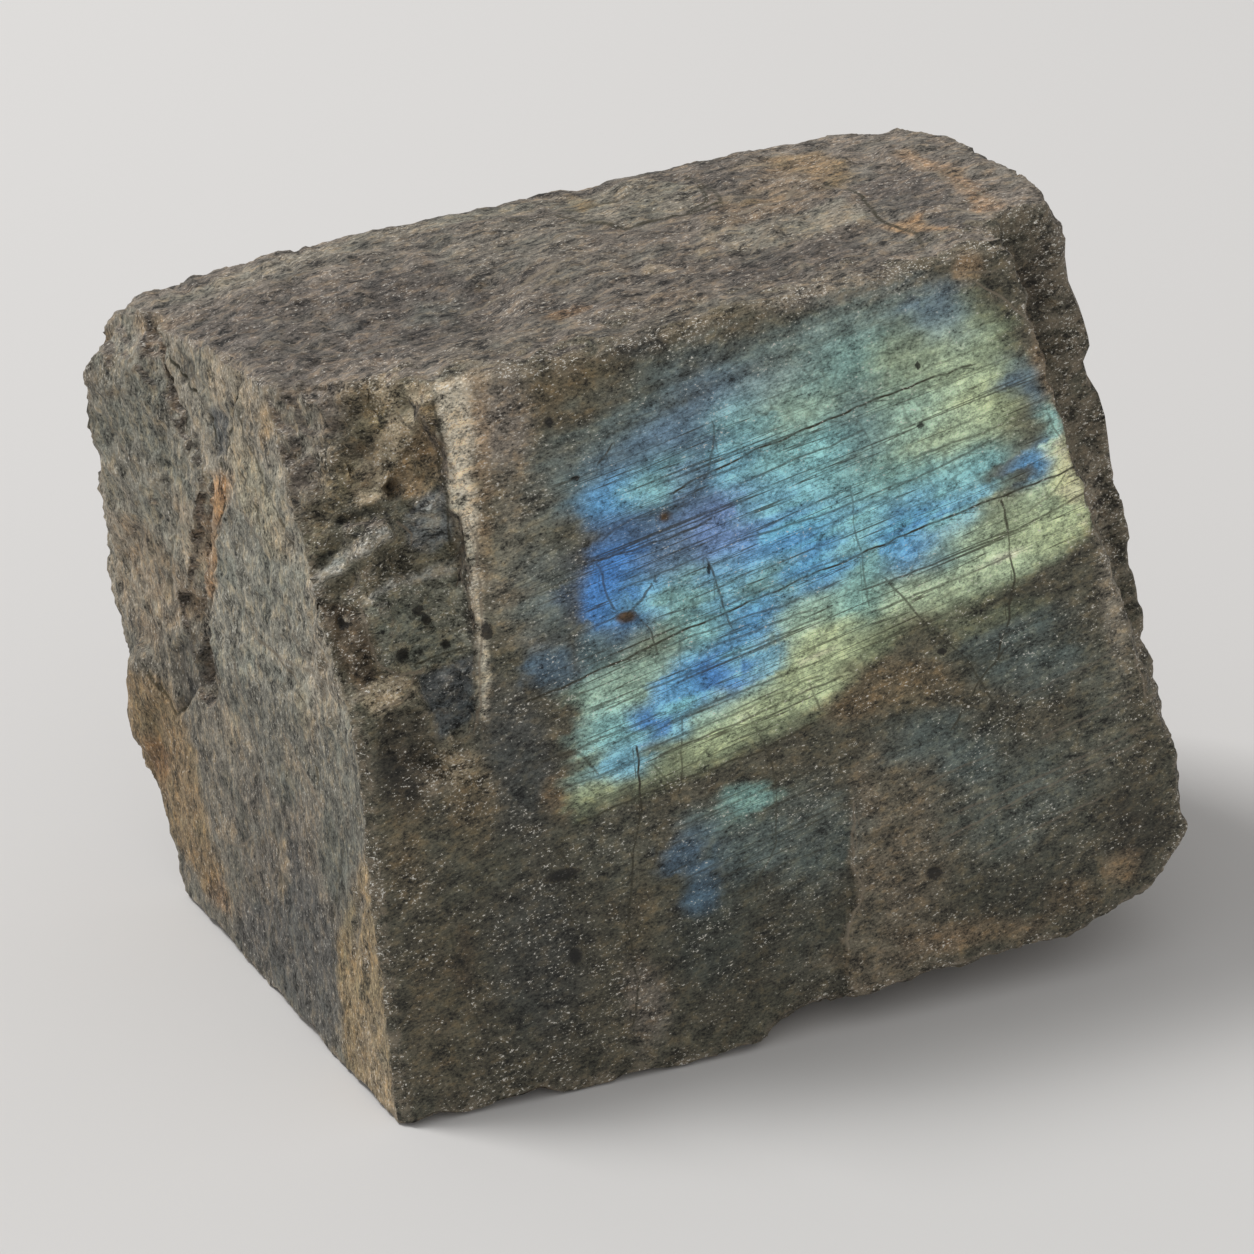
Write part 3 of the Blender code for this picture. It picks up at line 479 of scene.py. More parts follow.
# Cracks of the left face: corners as back, up, then darkness and depth
LEFT_LINES = (
    (((34.8, 63.8), (35.9, 59.3), (37.1, 55.7), (37.3, 52.1), (38.0, 48.6)), 1.0, 0.45),
    (((38.0, 48.6), (39.4, 45.7), (39.8, 42.9), (40.7, 39.3)), 0.8, 0.35),
    (((53.0, 62.9), (49.4, 60.7), (44.8, 59.1), (41.4, 57.6), (38.2, 53.6)), 1.0, 0.45),
    (((34.4, 60.7), (32.3, 57.9), (28.7, 55.0), (23.0, 51.0)), 0.7, 0.15),
    (((35.9, 56.1), (32.3, 53.6), (28.7, 50.0), (27.3, 48.6)), 0.7, 0.15),
    (((30.1, 38.6), (26.6, 38.6), (22.6, 37.5), (20.9, 35.7), (19.4, 32.1), (18.7, 28.6)), 0.6, 0.12),
    (((65.5, 56.4), (61.2, 54.6), (60.1, 49.3)), 1.0, 0.4),
    (((46.0, 24.0), (48.4, 21.2), (53.4, 25.0)), 0.8, 0.3),
    (((40.7, 39.3), (41.7, 35.7), (40.9, 32.1), (39.1, 29.6)), 0.7, 0.35),
    (((26.4, 19.0), (25.0, 12.0), (27.0, 6.0)), 0.5, 0.1),
    (((13.0, 24.0), (14.6, 14.0), (12.6, 4.0)), 0.5, 0.1),
    (((47.0, 46.0), (50.0, 38.0), (49.0, 31.0)), 0.5, 0.1),
    (((22.0, 37.6), (27.0, 38.6), (31.0, 38.4), (32.6, 40.4)), -0.6, 0.0),
    (((17.6, 26.4), (21.0, 28.6), (24.8, 30.4)), -0.8, 0.0),
    (((26.0, 38.6), (20.0, 39.8), (13.0, 41.0)), -0.5, 0.0),
    (((29.6, 25.4), (33.0, 30.0), (35.4, 33.4)), -0.45, 0.0),
    (((12.6, 38.8), (20.0, 41.6), (26.4, 44.4)), -0.4, 0.0),
    (((27.4, 48.4), (30.4, 49.4), (36.4, 51.4)), -0.5, 0.0),
    (((24.6, 20.0), (26.8, 12.0), (28.2, 3.0)), -0.5, 0.0),
    (((45.0, 43.4), (50.0, 46.4), (57.0, 50.4)), -0.45, 0.0),
    (((31.0, 16.4), (34.0, 13.0), (39.0, 11.8)), -0.5, 0.0),
)

# Cracks of the top: corners as right, back, then darkness
TOP_LINES = (
    (((34.4, 54.0), (36.0, 50.0), (40.0, 46.2), (46.0, 46.8), (49.0, 47.6), (50.2, 53.0)), 0.8),
    (((45.0, 46.8), (49.6, 46.6)), 1.0), (((38.0, 45.6), (42.0, 44.8), (46.0, 45.6)), -0.6),
    (((46.0, 44.6), (50.0, 42.6), (56.0, 43.8), (58.6, 47.0)), -0.7),
    (((61.6, 46.0), (62.2, 38.6), (61.4, 33.0), (63.0, 28.0), (62.4, 25.0)), 0.9),
    (((48.0, 32.8), (51.0, 36.0), (53.4, 39.8)), -0.5),
    (((19.6, 36.8), (28.0, 39.4), (36.0, 42.6)), -0.7), (((26.0, 36.0), (30.0, 39.6)), -0.5),
    (((57.6, 51.0), (61.0, 46.4), (64.0, 42.4)), -0.6),
    (((66.0, 33.0), (70.0, 31.0), (75.0, 34.0)), 0.5),
    (((71.6, 46.0), (71.0, 38.0), (73.0, 30.0)), -0.5),
    (((68.0, 31.0), (71.6, 27.0), (72.6, 24.0)), -0.6), (((45.0, 38.6), (46.6, 34.4)), -0.7),
    (((30.0, 55.0), (38.0, 54.4), (45.0, 55.2)), 0.6),
    (((50.0, 57.0), (51.0, 51.0), (50.0, 46.0)), 0.6), (((-2.0, 50.0), (6.0, 53.0), (14.0, 54.6)), 0.4),
)

# Stains and tinges, and the painted shade of hollows, as factors on red, green, blue and alpha
WARM_STAIN = (1.26, 1.02, 0.74, 1.0)
COOL_TINGE = (0.86, 0.95, 0.97, 1.0)
HOLLOW_SHADE = (0.34, 0.32, 0.29, 1.0)

# Gloss of the stone, and the height of its finest bumps in mm
STONE_SPECULAR = 0.28
FELDSPAR_IOR = 1.56
BUMP_HEIGHT = 0.6

# Main lamp: place, aim and side in metres
LAMP_PLACE = (-0.98, 0.98, 2.08)
LAMP_AIM = (0.0, 0.0, 0.02)
LAMP_SIZE = 0.60

# Points closer than this, in mm, become one; edges sharper than the angle stay sharp
MERGE_GAP = 0.01
SMOOTH_ANGLE = math.radians(50.0)
TRIANGLE_SLACK = 1.03

# Lightness of the body colours: places up the face in mm, then levels there
FRONT_LEVELS = ((0.0, 14.0, 26.0, 34.0), (0.80, 0.84, 0.94, 1.0))
LEFT_LEVELS = ((0.0, 18.0, 34.0, 56.0), (0.84, 0.88, 1.0, 1.08))
RECESS_LEVELS = ((30.0, 44.0, 54.0, 66.0), (1.50, 1.42, 1.30, 1.16))

# How far the lower edges are worn up, and how far in from the faces, in mm
FOOT_WEAR = 0.75
FOOT_WEAR_RUN = 3.2

# How far a line's darkness is measured to either side, in mm
LINE_REACH = 0.55
LINE_WANDER = 0.30
LINE_LAYERS = 3

# Low step on the cleavage face: its edge as right, up the slope, and its height
STEP_EDGE = (
    (46.8, 5.0), (46.8, 7.9), (46.5, 9.3), (47.8, 11.8), (49.0, 14.0), (48.0, 16.8), (48.4, 19.3),
    (48.7, 22.7), (48.6, 25.7), (49.8, 27.7),
)
STEP_HEIGHT = 0.55
STEP_RUN = 24.0
STEP_TOP = 27.0
STEP_FADE = 7.0

# Ridge beside the recess: bevelled strip from its crest down to its left edge
RIDGE_CREST = 15.6
RIDGE_EDGE = 11.8
RIDGE_DROP = 0.9
RIDGE_LOW = 36.0
RIDGE_HIGH = 69.0

# Broken ground left of the ridge: its right side, its lower edge there, and that edge's tilt
RECESS_RIGHT = 12.6
RECESS_LOW = 30.6
RECESS_TILT = 0.55

# How close to a face, in mm, and how square to it, a point counts as part of it
FACE_NEAR = (0.65, 1.15)
FACE_SQUARE = (0.80, 0.93)
FRONT_OUT = np.array((0.0, -math.cos(FRONT_LEAN), math.sin(FRONT_LEAN)))
LEFT_OUT = np.array((-1.0, LEFT_PER_BACK, LEFT_PER_UP))
LEFT_OUT = LEFT_OUT / np.linalg.norm(LEFT_OUT)
TOP_OUT = np.array((-TOP_PER_RIGHT, -TOP_PER_BACK, 1.0))
TOP_OUT = TOP_OUT / np.linalg.norm(TOP_OUT)

# Width of a lamella, and how far it runs at one level
LAMELLA_WIDTH = 1.35
LAMELLA_RUN = 14.0

# Steps of the shares that steer the thinning, and the height in mm up to which the base stays flat
WEIGHT_STEPS = 24
BASE_KEEP = 0.35


def tint(name, description, red, green, blue):
    """Colour setting given as the shade that it looks like, 0 to 255."""
    return FloatVectorProperty(
        name=name,
        description=description,
        subtype="COLOR_GAMMA",
        size=3,
        min=0.0,
        max=1.0,
        default=(red / 255, green / 255, blue / 255),
    )


def number(name, description, default, **limits):
    """Setting with one decimal value."""
    return FloatProperty(name=name, description=description, default=default, **limits)


def relief_height(name, description, default):
    """Setting with a small height of relief."""
    return number(name, description, default, precision=5, unit="LENGTH")


def light_share(name, face, default):
    """Setting with the share of full light that reaches a face on this stage."""
    return number(name, f"Share of full light that reaches the {face}", default, min=0.1, max=2.0)


class StoneSizes(bpy.types.PropertyGroup):
    """Sizes of the stone's surface."""

    grid: number(
        "Grid",
        "Side of the even grid that the surface is worked on",
        0.00042, min=0.0002, precision=5, unit="LENGTH",
    )
    even_passes: IntProperty(
        name="Evening passes",
        description="Passes that even out the large facets before the fine surface is worked",
        default=5,
        min=0,
    )
    hackle: relief_height("Hackle", "Height of the small broken facets on the rough sides", 0.00042)
    grain: relief_height("Grain", "Height of the finest relief on the rough sides", 0.00014)
    fibres: relief_height("Fibres", "Height of the drawn-out ribs on the left face and the top", 0.00009)
    triangles: IntProperty(
        name="Triangles",
        description="Number of triangles that the finished stone keeps",
        default=192000,
        min=10000,
        max=199000,
    )


class StoneFinish(bpy.types.PropertyGroup):
    """Colours and gloss of the stone."""

    # Flecks are painted glints of small cleavage facets
    glint_fleck: tint("Flecks", "Small bright cleavage flecks", 236, 232, 222)
    speck: tint("Specks", "Small dark specks", 30, 29, 27)
    seam: tint("Seams", "Dark seams between the lamellae", 58, 54, 38)
    crushed: tint("Crushed edge", "Pale crushed stone along the broken edges", 142, 130, 112)
    front_light: light_share("Light on the cleavage face", "cleavage face", 0.48)
    side_light: light_share("Light on the left face", "left face", 0.78)
    top_light: light_share("Light on the top", "top", 1.0)
    grain_contrast: number(
        "Grain contrast",
        "How strongly single grains vary from dark to pale",
        3.2, min=0.0, max=10.0,
    )
    crystals: number(
        "Crystals",
        "How strongly broken crystals on the rough sides differ from each other",
        0.75, min=0.0, max=2.0,
    )
    contrast: number(
        "Contrast",
        "How strongly the stone varies from dark to pale patches",
        4.8, min=0.0, max=10.0,
    )
    line_core: number(
        "Line core",
        "Half width of the full darkness of a thin line, as a share of its reach",
        0.08, min=0.0, max=1.0,
    )
    line_edge: number(
        "Line edge",
        "Half width at which a thin line has faded out, as a share of its reach",
        0.34, min=0.0, max=1.0,
    )
    gloss: number(
        "Roughness of the cleavage face",
        "Low values make the cleavage face shine more",
        0.36, min=0.0, max=1.0, subtype="FACTOR",
    )


class StageSettings(bpy.types.PropertyGroup):
    """Floor, light and camera."""

    floor: tint("Floor", "Plain pale floor", 222, 220, 218)
    floor_size: number("Floor size", "Side of the floor", 6.0, unit="LENGTH")
    sky: number("Fill light", "Even light from all around", 0.46, min=0.0)
    key: number(
        "Main light",
        "Power of the large soft light above, behind and to the left",
        36.0, min=0.0, unit="POWER",
    )
    eye: FloatVectorProperty(
        name="Camera place",
        description="Where the camera stands",
        default=(-0.09374, -0.25577, 0.1761),
        size=3,
        precision=5,
        subtype="TRANSLATION",
        unit="LENGTH",
    )
    look: FloatVectorProperty(
        name="Camera turn",
        description="How the camera is turned",
        default=(math.radians(62.0), 0.0, math.radians(-20.0)),
        size=3,
        subtype="EULER",
        unit="ROTATION",
    )
    lens: number("Lens", "Focal length in mm on a 36 mm wide sensor", 86.12, min=10.0)


def light_value(shade):
    """Amount of light of a shade from 0 to 1."""
    shade = np.asarray(shade, float)
    return np.where(shade <= 0.04045, shade / 12.92, ((shade + 0.055) / 1.055) ** 2.4)


def linear(colour):
    """Light amounts of a colour setting, with full cover."""
    return (*(float(value) for value in light_value(colour)), 1.0)


def smooth(value, low, high):
    """Eases from 0 at low to 1 at high."""
    share = np.clip((value - low) / (high - low), 0.0, 1.0)
    return share * share * (3.0 - 2.0 * share)


def dice(cells, seed):
    """Repeatable random number from 0 to 1 for each whole-numbered cell."""
    mixed = np.full(cells.shape[:-1], seed * 2654435761 % 4294967296, np.uint64)
    for axis, factor in enumerate((374761393, 668265263, 2246822519)):
        side = (cells[..., axis] + 4096).astype(np.uint64)
        mixed = (mixed ^ (side * factor)) * np.uint64(3266489917) & np.uint64(0xFFFFFFFF)
        mixed ^= mixed >> np.uint64(15)
    mixed = mixed * np.uint64(1274126177) & np.uint64(0xFFFFFFFF)
    mixed ^= mixed >> np.uint64(16)
    return mixed.astype(float) / 4294967295.0


def cloud(places, size, seed, layers=3):
    """Soft random relief from about -1 to 1, its largest forms as wide as size."""
    total = np.zeros(len(places))
    height, weight = 1.0, 0.0
    for layer in range(layers):
        spot = places / size * 2.0**layer + 17.3 * layer
        cell = np.floor(spot).astype(np.int64)
        share = spot - cell
        share = share * share * (3.0 - 2.0 * share)
        value = 0.0
        for corner in itertools.product((0, 1), repeat=3):
            pull = np.prod(np.where(corner, share, 1.0 - share), axis=-1)
            value = value + pull * dice(cell + np.array(corner), seed + layer)
        total = total + height * (2.0 * value - 1.0)
        weight += height
        height *= 0.5
    return total / weight * 1.6


def scoops(places, size, seed):
    """Shallow tilted bowls that meet in sharp ridges, from about 0 to 1."""
    spot = places / size
    cell = np.floor(spot).astype(np.int64)
    lowest = np.full(len(spot), 9.0)
    for step in itertools.product((-1, 0, 1), repeat=3):
        near = cell + np.array(step)
        centre = near + np.stack([dice(near, seed + axis) for axis in range(3)], axis=-1)
        lean = np.stack([dice(near, seed + 3 + axis) - 0.5 for axis in range(3)], axis=-1)
        gap = spot - centre
        bowl = (gap * gap).sum(axis=-1) + 1.4 * (gap * lean).sum(axis=-1) + 0.4 * dice(near, seed + 6)
        lowest = np.minimum(lowest, bowl)
    return lowest


def mosaic(across, up, size, seed):
    """Signed distance to the borders of random cells on a face, for those borders where it changes sign."""
    spot = np.stack([across, up, np.zeros_like(up)], axis=-1) / size
    cell = np.floor(spot).astype(np.int64)
    best = np.full(len(spot), 9.0)
    second = best.copy()
    side = np.ones(len(spot))
    for step in itertools.product((-1, 0, 1), (-1, 0, 1), (0,)):
        near = cell + np.array(step)
        gap = np.hypot(
            spot[:, 0] - near[:, 0] - dice(near, seed),
            spot[:, 1] - near[:, 1] - dice(near, seed + 1),
        )
        closer = gap < best
        second = np.where(closer, best, np.minimum(second, gap))
        side = np.where(closer, np.where(dice(near, seed + 2) < 0.5, -1.0, 1.0), side)
        best = np.minimum(best, gap)
    return side * (second - best) * 0.5 * size


def line_gap(across, up, corners):
    """Distance from points on a face to a line through the given corners, and the side they are on."""
    nearest = np.full(len(across), 1e9)
    side = np.ones(len(across))
    for (x0, y0), (x1, y1) in zip(corners, corners[1:]):
        run = (x1 - x0, y1 - y0)
        share = ((across - x0) * run[0] + (up - y0) * run[1]) / (run[0] ** 2 + run[1] ** 2)
        share = np.clip(share, 0.0, 1.0)
        gap = np.hypot(across - x0 - share * run[0], up - y0 - share * run[1])
        turn = run[0] * (up - y0) - run[1] * (across - x0)
        side = np.where(gap < nearest, np.where(turn < 0.0, -1.0, 1.0), side)
        nearest = np.minimum(nearest, gap)
    return nearest, side


class Surface:
    """Points of the stone in mm from its foot, how they face, and where they lie on its faces."""

    def __init__(self, stone):
        mesh = stone.data
        count = len(mesh.vertices)
        places = np.empty(count * 3, np.float32)
        mesh.vertices.foreach_get("co", places)
        facing = np.empty(count * 3, np.float32)
        mesh.vertex_normals.foreach_get("vector", facing)
        ends = np.empty(len(mesh.edges) * 2, np.int32)
        mesh.edges.foreach_get("vertices", ends)
        self.mesh = mesh
        self.places = places.reshape(-1, 3).astype(float) / MM + FOOT
        self.facing = facing.reshape(-1, 3).astype(float)
        self.ends = ends.reshape(-1, 2)
        self.measure()

    def measure(self):
        """Works out the place of each point on the cleavage face, the left face and the top."""
        x, y, z = self.places.T
        sin, cos = math.sin(FRONT_LEAN), math.cos(FRONT_LEAN)
        self.right = x
        self.slope = y * sin + (z - FRONT_RISE) * cos
        self.depth = y * cos - (z - FRONT_RISE) * sin
        self.back = y
        self.up = z
        self.left_depth = (x - LEFT_START - LEFT_PER_BACK * y - LEFT_PER_UP * z) * -LEFT_OUT[0]
        top = TOP_RISE + TOP_PER_RIGHT * x + TOP_PER_BACK * (y - 20.0)
        self.top_depth = (top - z) * TOP_OUT[2]
        turn_sin, turn_cos = math.sin(LAMELLA_SLOPE), math.cos(LAMELLA_SLOPE)
        self.along = self.right * turn_cos + self.slope * turn_sin
        self.across = self.slope * turn_cos - self.right * turn_sin

    def on_face(self, outward, depth, near=FACE_NEAR, square=FACE_SQUARE):
        """How much each point belongs to a face, from 0 to 1."""
        faced = smooth(self.facing @ outward, *square)
        return faced * (1.0 - smooth(np.abs(depth), *near))

    def front_reach(self, right, slope, wide, high):
        """Distance from the middle of an oval on the cleavage face, as a share of its half sizes."""
        return np.hypot((self.right - right) / wide, (self.slope - slope) / high)

    def push(self, height, outward=None):
        """Moves each point outwards by a height in mm."""
        way = self.facing if outward is None else outward
        self.places = self.places + way * height[:, None]
        self.measure()

    def even(self, values, passes):
        """Averages values with those of neighbouring points."""
        count = len(self.places)
        first, last = self.ends.T
        around = np.bincount(first, minlength=count) + np.bincount(last, minlength=count)
        values = values.reshape(count, -1)
        for _ in range(passes):
            sums = [
                np.bincount(first, column[last], count) + np.bincount(last, column[first], count)
                for column in values.T
            ]
            values = 0.5 * values + 0.5 * np.stack(sums, axis=-1) / around[:, None]
        return values

    def keep(self):
        """Writes the moved points back."""
        places = (self.places - FOOT) * MM
        self.mesh.vertices.foreach_set("co", places.astype(np.float32).ravel())
        self.mesh.update()


def only_select(thing):
    bpy.ops.object.select_all(action="DESELECT")
    thing.select_set(True)
    bpy.context.view_layer.objects.active = thing


def apply_step(thing, kind, **settings):
    """Adds a modifier with the given settings and applies it."""
    step = thing.modifiers.new(kind.lower(), kind)
    for key, value in settings.items():
        setattr(step, key, value)
    only_select(thing)
    bpy.ops.object.modifier_apply(modifier=step.name)


def weigh(stone, name, shares):
    """Vertex group whose weights are the given shares."""
    group = stone.vertex_groups.new(name=name)
    levels = np.round(np.clip(shares, 0.0, 1.0) * WEIGHT_STEPS).astype(int)
    for level in range(1, WEIGHT_STEPS + 1):
        group.add(np.flatnonzero(levels == level).tolist(), level / WEIGHT_STEPS, "REPLACE")
    return name


def copied_stone():
    """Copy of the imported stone, its loose triangles joined."""
    only_select(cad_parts[NODE])
    bpy.ops.object.duplicate()
    stone = bpy.context.active_object
    stone.name = "labradorite_surface"
    stone.data.name = stone.name
    for key in list(stone.keys()):
        del stone[key]
    stone.parent = None
    bpy.ops.object.mode_set(mode="EDIT")
    bpy.ops.mesh.select_all(action="SELECT")
    bpy.ops.mesh.remove_doubles(threshold=MERGE_GAP * MM)
    bpy.ops.mesh.normals_make_consistent(inside=False)
    bpy.ops.object.mode_set(mode="OBJECT")
    return stone


def past_step(skin):
    """How far each point lies to the right of the low step's edge."""
    edge_right, edge_up = zip(*STEP_EDGE)
    return skin.right - np.interp(skin.slope, edge_up, edge_right) - 0.25 * cloud(skin.places, 2.0, 31)


def step_depth(skin):
    """Depth of the ground left of the low step, which ends at the step's edge."""
    past = past_step(skin)
    ramp = np.clip(1.0 + past / STEP_RUN, 0.0, 1.0)
    low_side = 1.0 - smooth(past, -0.25, 0.25)
    fade = 1.0 - smooth(skin.slope, STEP_TOP - STEP_FADE, STEP_TOP)
    return STEP_HEIGHT * ramp**2 * low_side * fade


def ridge_depth(skin):
    """Depth of the bevel between the ridge's crest and its left edge."""
    span = smooth(skin.slope, RIDGE_LOW, RIDGE_LOW + 8.0)
    span = span * (1.0 - smooth(skin.slope, RIDGE_HIGH, RIDGE_HIGH + 3.0))
    share = np.clip((RIDGE_CREST - skin.right) / (RIDGE_CREST - RIDGE_EDGE), 0.0, 1.6)
    return RIDGE_DROP * share**1.5 * span * (skin.right > RIDGE_EDGE - 3.0)


def in_recess(skin):
    """Share of each point in the broken ground left of the ridge, which stays as rough as it is."""
    left_side = 1.0 - smooth(skin.right, RECESS_RIGHT - 0.6, RECESS_RIGHT + 0.4)
    low = RECESS_LOW + RECESS_TILT * (RECESS_RIGHT - skin.right)
    return left_side * smooth(skin.slope - low, -0.8, 0.8)


def true_up(skin):
    """Makes the cleavage face and the left face as even as the real breaks."""
    front = skin.on_face(FRONT_OUT, skin.depth) * (1.0 - in_recess(skin))
    aim = step_depth(skin) + ridge_depth(skin)
    aim = aim + 0.10 * cloud(skin.places, 24.0, 3, 2)
    skin.push((skin.depth - aim) * front, FRONT_OUT)
    left = skin.on_face(LEFT_OUT, skin.left_depth)
    skin.push((skin.left_depth + 0.25 * cloud(skin.places, 16.0, 5, 2)) * 0.8 * left, LEFT_OUT)


def lamella_strips(skin):
    """Place across each lamella of the cleavage face, and the whole-numbered cell along it."""
    strip = (skin.across + 0.25 * cloud(skin.places, 9.0, 41)) / LAMELLA_WIDTH
    cell = np.floor(strip).astype(np.int64)
    run = np.floor(skin.along / LAMELLA_RUN + 0.7 * cell).astype(np.int64)
    return strip - cell, np.stack([cell, run, np.zeros_like(cell)], axis=-1)


def lamella_relief(skin):
    """Fine steps between the lamellae of the cleavage face, each strip at its own level."""
    front = skin.on_face(FRONT_OUT, skin.depth, (1.0, 1.8))
    share, cell = lamella_strips(skin)
    level = dice(cell, 43) - 0.5
    tilt = (dice(cell, 44) - 0.5) * (share - 0.5)
    height = 0.09 * level + 0.12 * tilt + 0.03 * cloud(skin.places, 1.6, 45, 2)
    skin.push(height * front, FRONT_OUT)


def hackly_relief(skin, sizes):
    """Small broken facets on all rough sides, and calmer ribs on the left face and the top."""
    front = skin.on_face(FRONT_OUT, skin.depth, (1.0, 1.9), (0.72, 0.90))
    left = skin.on_face(LEFT_OUT, skin.left_depth, (1.6, 2.6), (0.70, 0.90))
    top = skin.on_face(TOP_OUT, skin.top_depth, (2.5, 4.0), (0.80, 0.94))
    base = 1.0 - smooth(skin.up, BASE_KEEP, 2.0)
    front = front * (1.0 - in_recess(skin))
    rough = np.clip(1.0 - front, 0.0, 1.0) * (1.0 - 0.85 * base)
    calm = 1.0 - 0.84 * np.clip(left + top, 0.0, 1.0)
    bent = skin.places + 0.5 * np.stack([cloud(skin.places, 2.4, 51 + axis) for axis in range(3)], axis=-1)
    hackle = sizes.hackle / MM
    grain = sizes.grain / MM
    height = hackle * (1.5 * scoops(bent, 4.2, 61) + 0.8 * scoops(bent, 1.7, 71) - 0.9) * calm
    height = height + grain * cloud(skin.places, 0.9, 81, 2)
    skin.push(height * rough * (1.0 + 0.9 * in_recess(skin)))
    fibre = sizes.fibres / MM
    lean_sin, lean_cos = math.sin(FIBRE_LEAN), math.cos(FIBRE_LEAN)
    drawn = np.stack(
        [
            skin.back * lean_cos - skin.up * lean_sin,
            (skin.up * lean_cos + skin.back * lean_sin) / 6.0,
            skin.right,
        ],
        axis=-1,
    )
    skin.push(fibre * cloud(drawn, 1.5, 91) * left, LEFT_OUT)
    turn_sin, turn_cos = math.sin(TOP_FIBRE_TURN), math.cos(TOP_FIBRE_TURN)
    drawn = np.stack(
        [
            (skin.right * turn_cos + skin.back * turn_sin) / 4.0,
            skin.back * turn_cos - skin.right * turn_sin,
            skin.up,
        ],
        axis=-1,
    )
    skin.push(fibre * cloud(drawn, 1.4, 95) * top, TOP_OUT)


def carve_cracks(skin):
    """Grooves along the cracks of the left face."""
    left = skin.on_face(LEFT_OUT, skin.left_depth, (2.0, 4.0), (0.45, 0.7))
    wander = LINE_WANDER * cloud(skin.places, 2.2, 101)
    for corners, _, depth in LEFT_LINES:
        gap, _ = line_gap(skin.back + wander, skin.up, corners)
        skin.push(-0.7 * depth * (1.0 - smooth(gap, 0.0, 1.2 * LINE_REACH)) * left, LEFT_OUT)


def seen_place(skin):
    """Where points behind the cleavage face show on it, as right and up the slope."""
    behind = np.clip(skin.depth, 0.0, 5.0)
    ragged = 0.35 * cloud(skin.places, 1.5, 107, 2)
    right = skin.right - SEEN_SHIFT[0] * behind + ragged
    return right, skin.slope - SEEN_SHIFT[1] * behind - 0.8 * ragged


def plate_share(across, up, plate):
    """How far inside a plate's soft outline each point is, from 0 to 1."""
    corners, soft, *_ = plate
    return outline_share(across, up, tuple((*corner, soft) for corner in corners), 0.0)


def plate_rise(across, up, plates):
    """Level of the ground over a table of plates, where later ones lie over earlier ones."""
    rise = np.zeros(len(across))
    for plate in plates:
        rise += (plate[-1] - rise) * plate_share(across, up, plate)
    return rise


def shape_recess(skin):
    """Plates and pits of the broken ground beside the ridge, each at its own level."""
    ground = in_recess(skin) * skin.on_face(FRONT_OUT, skin.depth, (5.0, 8.0), (0.2, 0.5))
    right, slope = seen_place(skin)
    rise = plate_rise(right, slope, PLATES)
    for middle, up, half, depth in HOLES:
        reach = np.hypot(right - middle, slope - up) / half
        rise -= depth * (1.0 - smooth(reach, 0.4, 1.3))
    skin.push(rise * ground, FRONT_OUT)


def raise_plates(skin):
    """Low plates of the left face and the top."""
    left = skin.on_face(LEFT_OUT, skin.left_depth, (2.0, 4.0), (0.6, 0.85))
    top = skin.on_face(TOP_OUT, skin.top_depth, (3.0, 5.0), (0.7, 0.9))
    ragged = 0.35 * cloud(skin.places, 1.8, 109, 3)
    rises = (
        (plate_rise(skin.back + ragged, skin.up - ragged, LEFT_PLATES) * left, LEFT_OUT),
        (plate_rise(skin.right + ragged, skin.back - ragged, TOP_PLATES) * top, TOP_OUT),
    )
    for rise, outward in rises:
        skin.push(rise, outward)


def carve_pits(skin):
    """Small pits where dark mineral and crumbs have dropped out of the cleavage face."""
    front = skin.on_face(FRONT_OUT, skin.depth, (1.5, 3.0), (0.5, 0.8))
    for right, slope, wide, high, depth in SPOTS + BROWN_PITS:
        reach = skin.front_reach(right, slope, wide, high)
        skin.push(-depth * (1.0 - smooth(reach, 0.6, 1.5)) * front, FRONT_OUT)


def wear_foot(skin):
    """Wears the lower edges back a little, so that the stone meets the floor just inside them."""
    ragged = 1.0 + 0.8 * cloud(skin.places, 3.5, 121, 3)
    inside = np.minimum(np.clip(skin.depth, 0.0, 9.0), np.clip(skin.left_depth, 0.0, 9.0))
    lift = FOOT_WEAR * ragged * (1.0 - smooth(inside, 0.0, FOOT_WEAR_RUN))
    skin.places[:, 2] = np.maximum(skin.places[:, 2], lift)
    skin.measure()


def keep_in_box(skin):
    """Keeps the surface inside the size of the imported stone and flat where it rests."""
    low = np.array(CAD_BOX[0]) / MM + FOOT
    high = np.array(CAD_BOX[1]) / MM + FOOT
    room = 0.012 * (high - low)
    room[2] = 0.0
    skin.places = np.clip(skin.places, low - room, high + 0.012 * (high - low))
    skin.places[:, 2] = np.maximum(skin.places[:, 2], 0.0)
    skin.measure()


def thin_out(stone, sizes):
    """Merges triangles where the surface is plain, and keeps them small on the shown faces."""
    skin = Surface(stone)
    front = skin.on_face(FRONT_OUT, skin.depth, (3.0, 5.0), (0.3, 0.6))
    left = skin.on_face(LEFT_OUT, skin.left_depth, (4.0, 7.0), (0.3, 0.6))
    top = skin.on_face(TOP_OUT, skin.top_depth, (4.0, 7.0), (0.3, 0.6))
    spare = 1.0 - np.clip(0.9 * front + 0.5 * left + 0.5 * top, 0.0, 0.9)
    weigh(stone, "spare", spare)
    apply_step(stone, "TRIANGULATE")
    apply_step(
        stone,
        "DECIMATE",
        ratio=sizes.triangles / len(stone.data.polygons),
        vertex_group="spare",
        vertex_group_factor=1.2,
    )
    stone.vertex_groups.clear()


